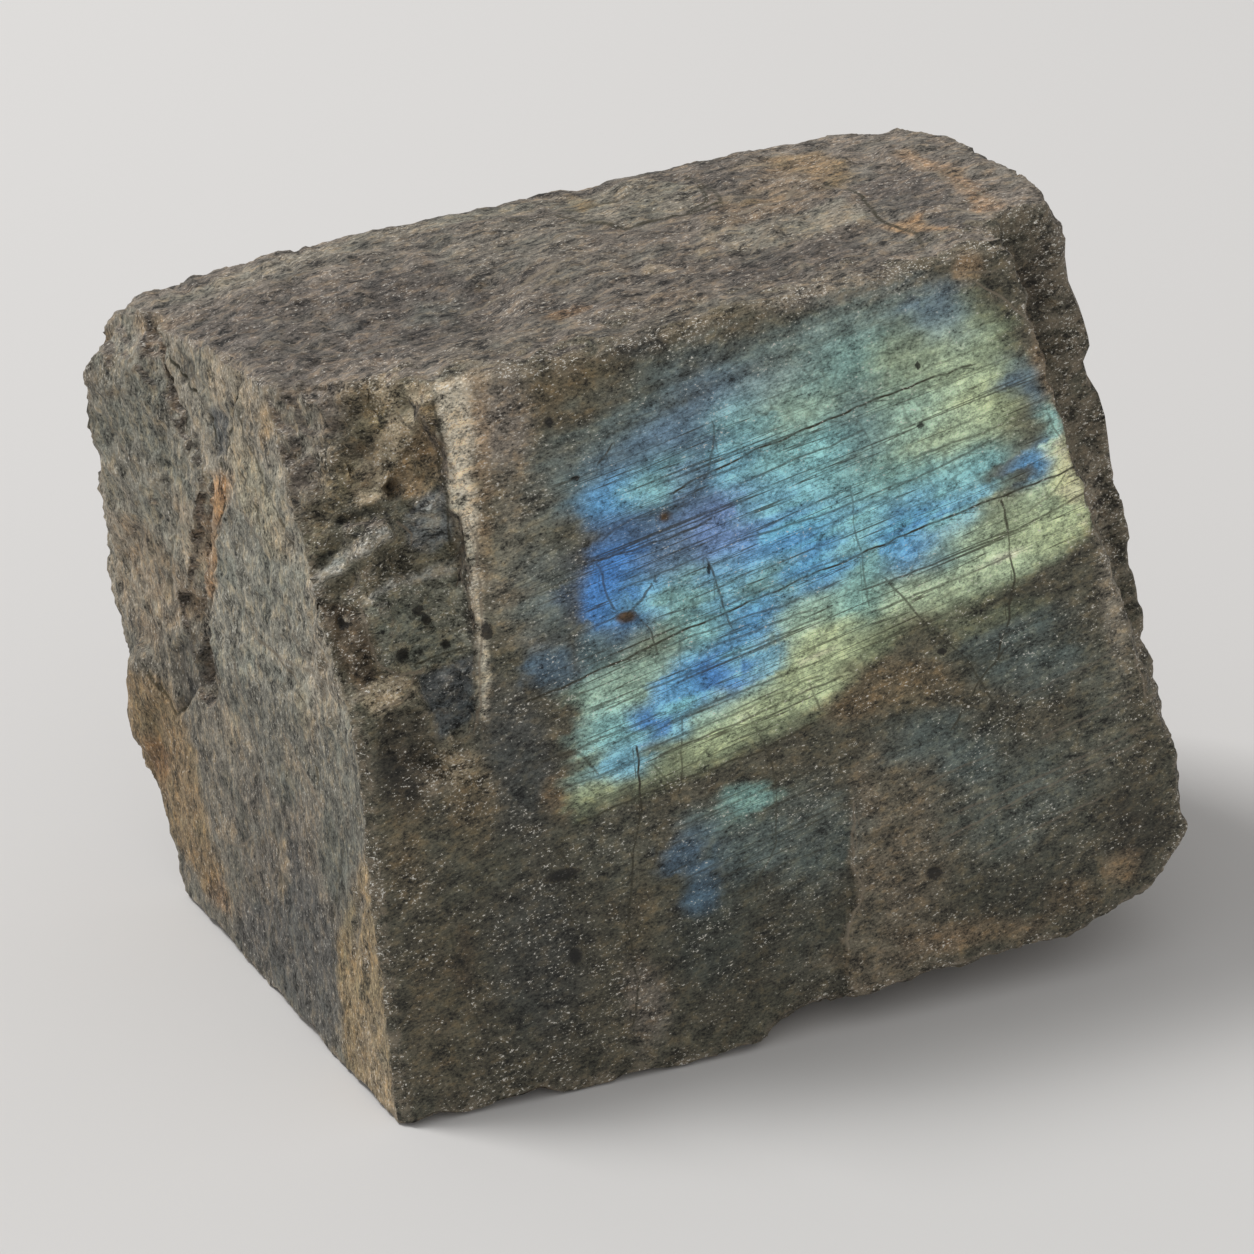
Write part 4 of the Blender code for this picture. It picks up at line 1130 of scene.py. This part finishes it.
def outline_share(across, up, corners, wander):
    """How far inside a soft outline each point is, from 0 to 1."""
    inside = np.zeros(len(across), bool)
    nearest = np.full(len(across), 1e9)
    soft = np.ones(len(across))
    for (x0, y0, soft0), (x1, y1, soft1) in zip(corners, corners[1:] + corners[:1]):
        crossing = (y0 > up) != (y1 > up)
        height = y1 - y0 if y1 != y0 else 1e-6
        inside ^= crossing & (across < x0 + (up - y0) * (x1 - x0) / height)
        run = (x1 - x0, y1 - y0)
        share = ((across - x0) * run[0] + (up - y0) * run[1]) / (run[0] ** 2 + run[1] ** 2)
        share = np.clip(share, 0.0, 1.0)
        gap = np.hypot(across - x0 - share * run[0], up - y0 - share * run[1])
        soft = np.where(gap < nearest, soft0 + share * (soft1 - soft0), soft)
        nearest = np.minimum(nearest, gap)
    reach = np.where(inside, nearest, -nearest) + wander * soft
    return np.clip(0.5 + 0.5 * reach / soft, 0.0, 1.0) ** 1.2


def colour_field(along, across, points, palette):
    """Smooth blend of the colours that stand around each point of the cleavage face."""
    total = np.zeros((len(along), 3))
    weight = np.full(len(along), 1e-12)
    turn_sin, turn_cos = math.sin(LAMELLA_SLOPE), math.cos(LAMELLA_SLOPE)
    for right, slope, half_along, half_across, name in points:
        run = along - right * turn_cos - slope * turn_sin
        rise = across - slope * turn_cos + right * turn_sin
        pull = np.exp(-0.55 * ((run / half_along) ** 2 + (rise / half_across) ** 2))
        total += pull[:, None] * light_value(np.array(palette[name]) / 255)
        weight += pull
    return total / weight[:, None]


def oval_share(across, up, middle, halves):
    """Share of a soft oval patch."""
    reach = np.hypot((across - middle[0]) / halves[0], (up - middle[1]) / halves[1])
    return 1.0 - smooth(reach, 0.45, 1.35)


def blend_in(paint, colour, share):
    """Paints a colour over what is there."""
    shade = light_value(np.array(colour) / 255)
    paint += (shade - paint) * np.clip(share, 0.0, 1.0)[:, None]


def draw_lines(skin, faces):
    """Signed distance to thin lines in a few layers, and how dark, or below 0 how pale, they are."""
    layers = [np.tile((1.0, 0.0), (len(skin.right), 1)) for _ in range(LINE_LAYERS)]
    wander = LINE_WANDER * cloud(skin.places, 2.2, 101)
    waver = 0.5 * LINE_WANDER * cloud(skin.places, 1.6, 103)
    near_front, left, top = faces
    tables = (
        (skin.right + wander, skin.slope + waver, near_front, 1.0, FRONT_LINES),
        (skin.back + wander, skin.up, left, 1.6, LEFT_LINES),
        (skin.right, skin.back + wander, top, 2.0, TOP_LINES),
    )
    for across, up, share, width, lines in tables:
        for corners, dark, *_ in lines:
            gap, side = line_gap(across, up, corners)
            gap = gap / width
            strength = dark * (1.0 - smooth(gap, 0.5 * LINE_REACH, 0.95 * LINE_REACH)) * share
            near = (gap < LINE_REACH) & (share > 0.0)
            clear = [layer for layer in layers if not np.any(near & (layer[:, 1] != 0.0))]
            layer = (clear or layers)[0]
            layer[near, 0] = (side * gap / LINE_REACH)[near]
            layer[near, 1] = strength[near]
    return layers


def face_levels(skin, faces):
    """Overall lightness of the body colours over the faces, with a painted highlight on the ridge."""
    near_front, left, top = faces
    low_front = near_front * smooth(skin.slope, -1.0, 1.0)
    ridge = smooth(skin.right, 11.0, 12.0) * (1.0 - smooth(skin.right, 15.0, 18.0))
    ridge = ridge * smooth(skin.slope, 34.0, 44.0) * near_front
    elsewhere = 1.0 - np.clip(near_front + left + top, 0.0, 1.0)
    level = 1.0 + (np.interp(skin.slope, *FRONT_LEVELS) - 1.0) * low_front
    level *= 1.0 + (np.interp(skin.up, *LEFT_LEVELS) - 1.0) * left
    level *= 1.0 + 0.24 * smooth(skin.right, 50.0, 66.0) * top
    level *= 1.0 + 0.30 * smooth(skin.right, 80.0, 88.0) * elsewhere
    level *= 1.0 + (np.interp(skin.slope, *RECESS_LEVELS) - 1.0) * in_recess(skin)
    # Painted highlight: the ridge's bevel is made 22 per cent lighter
    level *= 1.0 + 0.22 * ridge
    return level


def paint_faces(skin, faces):
    """Body colours, stains, and the colour play painted as a fixed sheen over the stone."""
    near_front, left, top = faces
    recess = in_recess(skin) * near_front
    front = skin.on_face(FRONT_OUT, skin.depth, (1.4, 2.6), (0.70, 0.88)) * (1.0 - recess)
    paint = np.tile(light_value(np.array(BODY_COLOURS["brown grey"]) / 255), (len(front), 1))
    blend_in(paint, BODY_COLOURS["olive"], near_front)
    blend_in(paint, BODY_COLOURS["grey"], left)
    blend_in(paint, BODY_COLOURS["brown grey"], top)
    wide = 1.2 * cloud(skin.places, 6.0, 201, 4)
    other = 1.2 * cloud(skin.places, 6.0, 205, 4)
    tables = (
        (skin.right + wide, skin.slope + other, near_front, FRONT_TONES),
        (skin.back + wide, skin.up + other, left, LEFT_TONES),
        (skin.right + wide, skin.back + other, top, TOP_TONES),
    )
    for across, up, share, tones in tables:
        for first, second, half_first, half_second, name, strength in tones:
            oval = oval_share(across, up, (first, second), (half_first, half_second))
            blend_in(paint, BODY_COLOURS[name], oval * strength * share)
    past = past_step(skin)
    panel = smooth(past, -0.2, 0.3) * (1.0 - smooth(past, 3.0, 14.0))
    panel *= 1.0 - smooth(skin.slope, STEP_TOP - 3.0, STEP_TOP + 3.0)
    blend_in(paint, BODY_COLOURS["pale panel"], 0.95 * panel * near_front)
    foot = smooth(past, -2.4, -0.2) * (1.0 - smooth(past, -0.2, 0.2))
    foot *= 1.0 - smooth(skin.slope, STEP_TOP - 5.0, STEP_TOP)
    blend_in(paint, BODY_COLOURS["dark olive"], 0.6 * foot * near_front)
    ragged = 0.35 * cloud(skin.places, 1.8, 109, 3) + 0.5 * cloud(skin.places, 3.0, 111, 2)
    tables = (
        (*seen_place(skin), near_front, PLATES),
        (skin.back + ragged, skin.up - ragged, left, LEFT_PLATES),
        (skin.right + ragged, skin.back - ragged, top, TOP_PLATES),
    )
    level = face_levels(skin, faces)
    crumbs = np.zeros(len(front))
    grit = 0.35 + 0.65 * smooth(cloud(skin.places, 1.1, 113, 2), -0.35, 0.30)
    for across, up, face, plates in tables:
        for plate in plates:
            _, _, name, strength, _ = plate
            share = plate_share(across, up, plate)
            if name in CRUMBLY:
                share = share * grit
                crumbs = np.maximum(crumbs, share * face * CRUMBLY[name])
            blend_in(paint, BODY_COLOURS[name], share * strength * face)
    paint *= level[:, None]
    drawn = np.stack([skin.along / 9.0, skin.across / 0.6, skin.depth / 4.0], axis=-1)
    streaks = cloud(drawn, 1.0, 211, 2)
    patches = cloud(skin.places, 2.6, 213, 3)
    _, cell = lamella_strips(skin)
    slide = 2.4 * (dice(cell, 217) - 0.5)
    wander = 0.35 * streaks + 0.6 * patches + slide
    waver = 0.3 * cloud(skin.places, 2.0, 215, 2)
    # The colour play is painted into the colour as a fixed sheen, the same from every side
    field = colour_field(skin.along + wander, skin.across + waver, FLASH_PATCHES, FLASH)
    play = outline_share(
        skin.right + 0.6 * wander, skin.slope + 0.6 * waver, FLASH_OUTLINE, 0.20 * streaks + 0.25 * patches
    )
    for right, slope, half_right, half_slope, strength in FLASH_ISLES:
        oval = oval_share(skin.right + wander, skin.slope + waver, (right, slope), (half_right, half_slope))
        play = np.maximum(play, oval * strength)
    play = play * front
    sheen_level = 1.02 * (1.0 + 0.14 * streaks + 0.12 * patches + 0.24 * (dice(cell, 219) - 0.5))
    field = field * sheen_level[:, None]
    paint += (field - paint) * play[:, None]
    return paint, play, front, crumbs


def paint_stone(stone, finish):
    """Colours of the faces, thin lines, worn edges and painted shade in hollows, kept as point attributes.
    """
    skin = Surface(stone)
    near_front = skin.on_face(FRONT_OUT, skin.depth, (5.0, 8.0), (0.25, 0.55))
    left = skin.on_face(LEFT_OUT, skin.left_depth, (3.0, 5.0), (0.45, 0.75)) * (1.0 - near_front)
    top = skin.on_face(TOP_OUT, skin.top_depth, (3.0, 6.0), (0.55, 0.80)) * (1.0 - near_front)
    faces = (near_front, left, top)
    paint, play, front, crumbs = paint_faces(skin, faces)
    light = (
        1.0
        + (finish.front_light - 1.0) * near_front
        + (finish.side_light - 1.0) * left
        + (finish.top_light - 1.0) * top
    )
    smoothed = skin.even(skin.places, 18)
    bulge = ((skin.places - smoothed) * skin.facing).sum(axis=-1)
    chipped = near_front * (1.0 - front) * (1.0 - 0.6 * in_recess(skin))
    worn = np.maximum(smooth(bulge, 0.08, 0.40), 0.75 * smooth(chipped, 0.2, 0.9))
    crumble = 0.5 * cloud(skin.places, 1.5, 241, 3)
    left_rim = 1.0 - smooth(skin.left_depth + crumble, 0.45, 1.2)
    top_rim = 1.0 - smooth(skin.top_depth + 2.0 * crumble, 0.6, 2.8)
    foot_rim = 1.0 - smooth(skin.up + 1.5 * crumble, 0.6, 2.2)
    rim = np.maximum(np.maximum(0.9 * left_rim, 0.7 * top_rim), 0.6 * foot_rim)
    worn = np.maximum(np.maximum(worn, rim * near_front), crumbs)
    # How deep each point lies in the surface's hollows, for the painted shade there
    hollow_shade_share = smooth(-bulge, 0.12, 0.60)
    dark = np.zeros(len(front))
    brown = np.zeros(len(front))
    for right, slope, wide, high, _ in SPOTS:
        reach = skin.front_reach(right, slope, wide, high)
        dark = np.maximum(dark, np.clip(1.0 - 0.5 * reach, 0.0, 1.0) * near_front)
    seen_right, seen_slope = seen_place(skin)
    for right, slope, half, _ in HOLES:
        reach = np.hypot(seen_right - right, seen_slope - slope) / half
        dark = np.maximum(dark, np.clip(1.0 - 0.5 * reach, 0.0, 1.0) * near_front)
    for right, slope, wide, high, _ in BROWN_PITS:
        reach = skin.front_reach(right, slope, wide, high)
        brown = np.maximum(brown, (1.0 - smooth(reach, 0.7, 1.4)) * near_front)
    blend_in(paint, BODY_COLOURS["crumb brown"], brown)
    paint = np.clip(paint / light[:, None], 0.0, 0.95)
    near_left = skin.on_face(LEFT_OUT, skin.left_depth, (4.0, 6.0), (-0.1, 0.3)) * (1.0 - near_front)
    lines = draw_lines(skin, (near_front, near_left, top))
    net = mosaic(skin.right + 0.3 * cloud(skin.places, 1.3, 231), skin.slope, 1.7, 233) / LINE_REACH
    net_dark = play * smooth(cloud(skin.places, 4.0, 235), -0.30, 0.50) * 0.36
    write_attribute(stone, "stone_colour", np.column_stack([paint, play]))
    write_attribute(stone, "stone_wear_and_shade", np.column_stack([worn, hollow_shade_share, dark, front]))
    lined = np.clip(0.30 + 0.70 * play, 0.0, 1.0) * (1.0 - 0.65 * smooth(skin.slope, 61.0, 67.0))
    for right, slope, half_right, half_slope, strength in LINED_PATCHES:
        oval = oval_share(skin.right, skin.slope, (right, slope), (half_right, half_slope))
        lined = np.maximum(lined, strength * oval)
    write_attribute(stone, "stone_faces", np.column_stack([near_front, left, top, lined * front]))
    write_attribute(stone, "stone_lines", np.column_stack([lines[0], lines[1]]))
    write_attribute(stone, "stone_nets", np.column_stack([lines[2], net, net_dark]))


def write_attribute(stone, name, values):
    """Colour attribute with four values for each point."""
    layer = stone.data.color_attributes.new(name, "FLOAT_COLOR", "POINT")
    layer.data.foreach_set("color", values.astype(np.float32).ravel())


class Recipe:
    """Node tree of a material, with a short way to add each kind of node."""

    def __init__(self, name):
        self.material = bpy.data.materials.new(name)
        self.material.use_nodes = True
        self.tree = self.material.node_tree
        self.shader = self.tree.nodes["Principled BSDF"]

    def put(self, kind, inputs=(), **settings):
        """Adds a node, sets it up and links or fills its inputs."""
        node = self.tree.nodes.new(kind)
        for key, value in settings.items():
            setattr(node, key, value)
        for key, value in dict(inputs).items():
            self.feed(node.inputs[key], value)
        return node

    def feed(self, socket, value):
        if isinstance(value, bpy.types.NodeSocket):
            self.tree.links.new(value, socket)
        else:
            socket.default_value = value

    def sum(self, way, first, second=0.0, third=0.0):
        node = self.put("ShaderNodeMath", {0: first, 1: second, 2: third}, operation=way)
        return node.outputs[0]

    def times(self, first, second):
        return self.sum("MULTIPLY", first, second)

    def scaled(self, value, factor, shift):
        return self.sum("MULTIPLY_ADD", value, factor, shift)

    def plus(self, first, second):
        return self.sum("ADD", first, second)

    def minus(self, first, second):
        return self.sum("SUBTRACT", first, second)

    def size(self, value):
        return self.sum("ABSOLUTE", value)

    def tinted(self, colour, factor):
        """Colour with each of its channels scaled."""
        return self.mix(1.0, colour, factor, "MULTIPLY")

    def range(self, value, low, high, start=0.0, end=1.0):
        node = self.put(
            "ShaderNodeMapRange",
            {"Value": value, "From Min": low, "From Max": high, "To Min": start, "To Max": end},
            interpolation_type="SMOOTHSTEP",
        )
        return node.outputs[0]

    def noise(self, place, scale, detail=2.0, rough=0.5, twist=0.0):
        node = self.put(
            "ShaderNodeTexNoise",
            {"Vector": place, "Scale": scale, "Detail": detail, "Roughness": rough, "Distortion": twist},
        )
        return node.outputs[0]

    def mix(self, share, first, second, way="MIX"):
        node = self.put("ShaderNodeMix", {0: share, 6: first, 7: second}, data_type="RGBA", blend_type=way)
        return node.outputs[2]

    def mix_place(self, share, first, second):
        node = self.put("ShaderNodeMix", {0: share, 4: first, 5: second}, data_type="VECTOR")
        return node.outputs[1]

    def attribute(self, name):
        return self.put("ShaderNodeAttribute", attribute_name=name)

    def split(self, colour):
        return self.put("ShaderNodeSeparateColor", {0: colour}).outputs

    def moved(self, place, **inputs):
        """Place stretched, turned and shifted by the given amounts."""
        return self.put("ShaderNodeMapping", {"Vector": place, **inputs}).outputs[0]


def stone_material(finish):
    """Feldspar with thin seams and cracks, bright flecks painted as glints of small facets, specks, and
    painted shade in the hollows, over the painted colours.
    """
    recipe = Recipe("labradorite")
    place = recipe.put("ShaderNodeTexCoord").outputs["Object"]
    paint = recipe.attribute("stone_colour")
    play = paint.outputs["Alpha"]
    # Worn edges, painted shade of hollows, dark spots and the flat share
    wear_and_shade = recipe.attribute("stone_wear_and_shade")
    worn, hollow_shade_share, dark = recipe.split(wear_and_shade.outputs["Color"])
    flat = wear_and_shade.outputs["Alpha"]
    faces = recipe.attribute("stone_faces")
    near_front, left, top = recipe.split(faces.outputs["Color"])
    lined = faces.outputs["Alpha"]

    # Places in mm: on the cleavage face x runs along the lamellae, elsewhere along the fibres
    in_mm = recipe.moved(place, Location=tuple(FOOT), Scale=(1 / MM,) * 3)
    upright = recipe.moved(in_mm, Rotation=(FRONT_LEAN - math.pi / 2, 0.0, 0.0))
    lamella = recipe.moved(upright, Rotation=(0.0, 0.0, -LAMELLA_SLOPE))
    front_grain = recipe.moved(lamella, Scale=(0.70, 1.15, 1.1))
    leaned = recipe.moved(in_mm, Rotation=(FIBRE_LEAN, 0.0, 0.0))
    left_grain = recipe.moved(leaned, Scale=(1.2, 1.3, 0.62))
    turned = recipe.moved(in_mm, Rotation=(0.0, 0.0, -TOP_FIBRE_TURN))
    top_grain = recipe.moved(turned, Scale=(0.55, 1.1, 1.0))
    grain = recipe.mix_place(recipe.sum("GREATER_THAN", left, 0.5), top_grain, left_grain)
    grain = recipe.mix_place(recipe.sum("GREATER_THAN", near_front, 0.5), grain, front_grain)

    # Mottled tone from broad patches down to single grains, and broken crystals on the rough sides
    mottle = recipe.noise(grain, 0.55, 5.0, 0.80)
    dots = recipe.noise(grain, 4.0, 2.0, 0.75)
    clump = recipe.noise(in_mm, 0.20, 3.0, 0.6)
    splinters = recipe.put("ShaderNodeTexVoronoi", {"Vector": grain, "Scale": 1.5})
    chance = recipe.split(splinters.outputs["Color"])[0]
    crystal = recipe.scaled(flat, -finish.crystals * 0.8, finish.crystals)
    crystal = recipe.scaled(left, -finish.crystals * 0.5, crystal)
    tone = recipe.scaled(recipe.minus(mottle, 0.5), finish.contrast, 1.0)
    tone = recipe.scaled(recipe.minus(dots, 0.5), finish.grain_contrast, tone)
    calm = recipe.scaled(play, -0.30, 1.0)
    calm = recipe.scaled(recipe.plus(left, top), -0.05, calm)
    tone = recipe.scaled(recipe.minus(tone, 1.0), calm, 1.0)
    tone = recipe.scaled(recipe.minus(chance, 0.5), crystal, tone)
    tone = recipe.sum("MAXIMUM", tone, 0.10)
    colour = recipe.tinted(paint.outputs["Color"], tone)
    warmth = recipe.noise(grain, 1.1, 2.0, 0.6)
    stained = recipe.range(warmth, 0.46, 0.70, 0.0, 0.50)
    stained = recipe.times(stained, recipe.scaled(play, -0.75, 1.0))
    colour = recipe.mix(stained, colour, recipe.tinted(colour, WARM_STAIN))
    cool = recipe.range(clump, 0.38, 0.52, 0.55, 0.0)
    cool = recipe.times(cool, recipe.minus(1.0, play))
    colour = recipe.mix(cool, colour, recipe.tinted(colour, COOL_TINGE))

    # Crushed pale edges, and painted shade in the hollows
    crushed = recipe.times(worn, recipe.range(mottle, 0.42, 0.60, 0.05, 0.80))
    colour = recipe.mix(crushed, colour, linear(finish.crushed))
    colour = recipe.mix(recipe.times(hollow_shade_share, 0.5), colour, recipe.tinted(colour, HOLLOW_SHADE))

    # Fine parallel strokes between the lamellae
    strokes = recipe.noise(recipe.moved(lamella, Scale=(0.022, 1.25, 0.3)), 1.0, 1.4, 0.55)
    stroke = recipe.size(recipe.minus(strokes, 0.5))
    stroke = recipe.range(stroke, 0.002, 0.020, 0.85, 0.0)
    stroke = recipe.times(stroke, lined)

    # Listed seams and cracks: signed distances stay exact between points, so lines stay thin
    crackle = recipe.size(recipe.minus(warmth, 0.5))
    crackle = recipe.range(crackle, 0.0, 0.012, 0.40, 0.0)
    darkest = recipe.sum("MAXIMUM", stroke, recipe.times(crackle, play))
    palest = 0.0
    sources = [recipe.attribute(name) for name in ("stone_lines", "stone_nets")]
    fields = [recipe.split(source.outputs["Color"]) for source in sources]
    alphas = [source.outputs["Alpha"] for source in sources]
    pairs = (
        (fields[0][0], fields[0][1]),
        (fields[0][2], alphas[0]),
        (fields[1][0], fields[1][1]),
        (fields[1][2], alphas[1]),
    )
    for distance, strength in pairs:
        thin = recipe.range(recipe.size(distance), finish.line_core, finish.line_edge, 1.0, 0.0)
        drawn = recipe.times(thin, strength)
        darkest = recipe.sum("MAXIMUM", darkest, drawn)
        palest = recipe.sum("MINIMUM", palest, drawn)
    broken = recipe.range(mottle, 0.36, 0.56, 0.55, 1.0)
    colour = recipe.mix(recipe.times(darkest, broken), colour, linear(finish.seam))
    colour = recipe.mix(recipe.times(palest, -1.0), colour, linear(finish.crushed))

    # Bright flecks, painted glints of small cleavage facets, and dark specks
    sparse = recipe.scaled(play, 0.020, recipe.range(clump, 0.40, 0.62, 0.055, -0.006))
    sparse = recipe.plus(sparse, recipe.range(warmth, 0.40, 0.60, 0.020, -0.020))
    sparse = recipe.minus(sparse, recipe.times(worn, 0.050))
    shine = recipe.minus(dots, sparse)
    glint_fleck = recipe.range(shine, 0.635, 0.668, 0.0, 0.95)
    glint_fleck = recipe.times(glint_fleck, recipe.scaled(near_front, 0.35, 0.60))
    speck = recipe.range(dots, 0.30, 0.35, 0.80, 0.0)
    speck = recipe.times(speck, recipe.scaled(play, -0.6, 1.0))
    colour = recipe.mix(speck, colour, linear(finish.speck))
    colour = recipe.mix(glint_fleck, colour, linear(finish.glint_fleck))
    blot = recipe.scaled(recipe.minus(mottle, 0.5), 1.1, dark)
    blot = recipe.scaled(recipe.minus(dots, 0.5), 0.9, blot)
    blot = recipe.range(blot, 0.46, 0.58, 0.0, 0.88)
    colour = recipe.mix(blot, colour, linear(finish.speck))
    recipe.feed(recipe.shader.inputs["Base Color"], colour)

    rough = recipe.scaled(flat, finish.gloss - 0.62, 0.62)
    rough = recipe.minus(rough, recipe.times(glint_fleck, 0.25))
    recipe.feed(recipe.shader.inputs["Roughness"], rough)
    recipe.shader.inputs["Specular IOR Level"].default_value = STONE_SPECULAR
    recipe.shader.inputs["IOR"].default_value = FELDSPAR_IOR

    relief = recipe.noise(grain, 1.6, 3.0, 0.68)
    strength = recipe.scaled(flat, -0.62, 0.95)
    strength = recipe.scaled(recipe.plus(left, top), -0.30, strength)
    bump = {"Strength": strength, "Distance": BUMP_HEIGHT * MM, "Height": relief}
    bump = recipe.put("ShaderNodeBump", bump)
    recipe.feed(recipe.shader.inputs["Normal"], bump.outputs[0])
    return recipe.material


class LABRADORITE_OT_stone(bpy.types.Operator):
    """Builds the stone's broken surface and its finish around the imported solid."""

    bl_idname = "labradorite.stone"
    bl_label = "Stone"

    def execute(self, context):
        sizes = context.scene.labradorite_sizes
        finish = context.scene.labradorite_finish
        stone = copied_stone()
        apply_step(stone, "REMESH", mode="VOXEL", voxel_size=sizes.grid)
        apply_step(stone, "SMOOTH", factor=0.5, iterations=sizes.even_passes)
        skin = Surface(stone)
        true_up(skin)
        skin.keep()
        skin = Surface(stone)
        lamella_relief(skin)
        hackly_relief(skin, sizes)
        carve_cracks(skin)
        shape_recess(skin)
        raise_plates(skin)
        carve_pits(skin)
        keep_in_box(skin)
        wear_foot(skin)
        skin.keep()
        thin_out(stone, sizes)
        paint_stone(stone, finish)
        only_select(stone)
        bpy.ops.object.shade_smooth_by_angle(angle=SMOOTH_ANGLE)
        stone.data.materials.clear()
        stone.data.materials.append(stone_material(finish))
        print("triangles of the stone:", len(stone.data.polygons))
        if len(stone.data.polygons) > sizes.triangles * TRIANGLE_SLACK:
            raise RuntimeError("The stone kept too many triangles")
        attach(stone, BODY)
        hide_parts(NODE)
        return {"FINISHED"}


def plain_floor(stage):
    bpy.ops.mesh.primitive_plane_add(size=stage.floor_size, location=(0.0, 0.0, 0.0))
    floor = bpy.context.active_object
    floor.name = "floor"
    recipe = Recipe("plain floor")
    recipe.shader.inputs["Base Color"].default_value = linear(stage.floor)
    recipe.shader.inputs["Roughness"].default_value = 0.9
    recipe.shader.inputs["Specular IOR Level"].default_value = 0.1
    floor.data.materials.append(recipe.material)


def soft_light(name, place, aim, size, power):
    """Square lamp at a place, turned towards another."""
    bpy.ops.object.light_add(type="AREA", location=place)
    lamp = bpy.context.active_object
    lamp.name = name
    lamp.data.shape = "SQUARE"
    lamp.data.size = size
    lamp.data.energy = power
    lamp.rotation_euler = (Vector(aim) - Vector(place)).to_track_quat("-Z", "Y").to_euler()


class LABRADORITE_OT_stage(bpy.types.Operator):
    """Lays a plain floor, sets soft light and stands the camera at its place."""

    bl_idname = "labradorite.stage"
    bl_label = "Stage"

    def execute(self, context):
        stage = context.scene.labradorite_stage
        plain_floor(stage)
        soft_light("main light", LAMP_PLACE, LAMP_AIM, LAMP_SIZE, stage.key)
        world = bpy.data.worlds.new("even fill")
        world.use_nodes = True
        world.node_tree.nodes["Background"].inputs["Color"].default_value = (1.0, 1.0, 1.0, 1.0)
        world.node_tree.nodes["Background"].inputs["Strength"].default_value = stage.sky
        context.scene.world = world
        context.scene.view_settings.view_transform = "Standard"
        bpy.ops.object.camera_add(location=stage.eye, rotation=Euler(stage.look))
        camera = context.active_object
        camera.data.lens = stage.lens
        camera.data.sensor_width = 36.0
        camera.data.clip_start = 0.01
        camera.data.clip_end = 20.0
        context.scene.camera = camera
        return {"FINISHED"}


class LABRADORITE_PT_panel(bpy.types.Panel):
    """Lists the pieces that can be built."""

    bl_idname = "LABRADORITE_PT_panel"
    bl_label = "Labradorite"
    bl_space_type = "VIEW_3D"
    bl_region_type = "UI"
    bl_category = "Labradorite"

    def draw(self, context):
        for operator in OPERATORS:
            self.layout.operator(operator.bl_idname)
        for group in SETTINGS:
            box = self.layout.box()
            for key in SETTINGS[group].__annotations__:
                box.prop(getattr(context.scene, group), key)


SETTINGS = {
    "labradorite_sizes": StoneSizes,
    "labradorite_finish": StoneFinish,
    "labradorite_stage": StageSettings,
}
OPERATORS = (LABRADORITE_OT_stage, LABRADORITE_OT_stone)
CLASSES = (*SETTINGS.values(), *OPERATORS, LABRADORITE_PT_panel)


def register():
    for entry in CLASSES:
        bpy.utils.register_class(entry)
    for name, group in SETTINGS.items():
        setattr(bpy.types.Scene, name, PointerProperty(type=group))


def unregister():
    for name in SETTINGS:
        delattr(bpy.types.Scene, name)
    for entry in reversed(CLASSES):
        bpy.utils.unregister_class(entry)


def main():
    register()
    bpy.ops.labradorite.stage()
    bpy.ops.labradorite.stone()


if __name__ == "__main__":
    main()
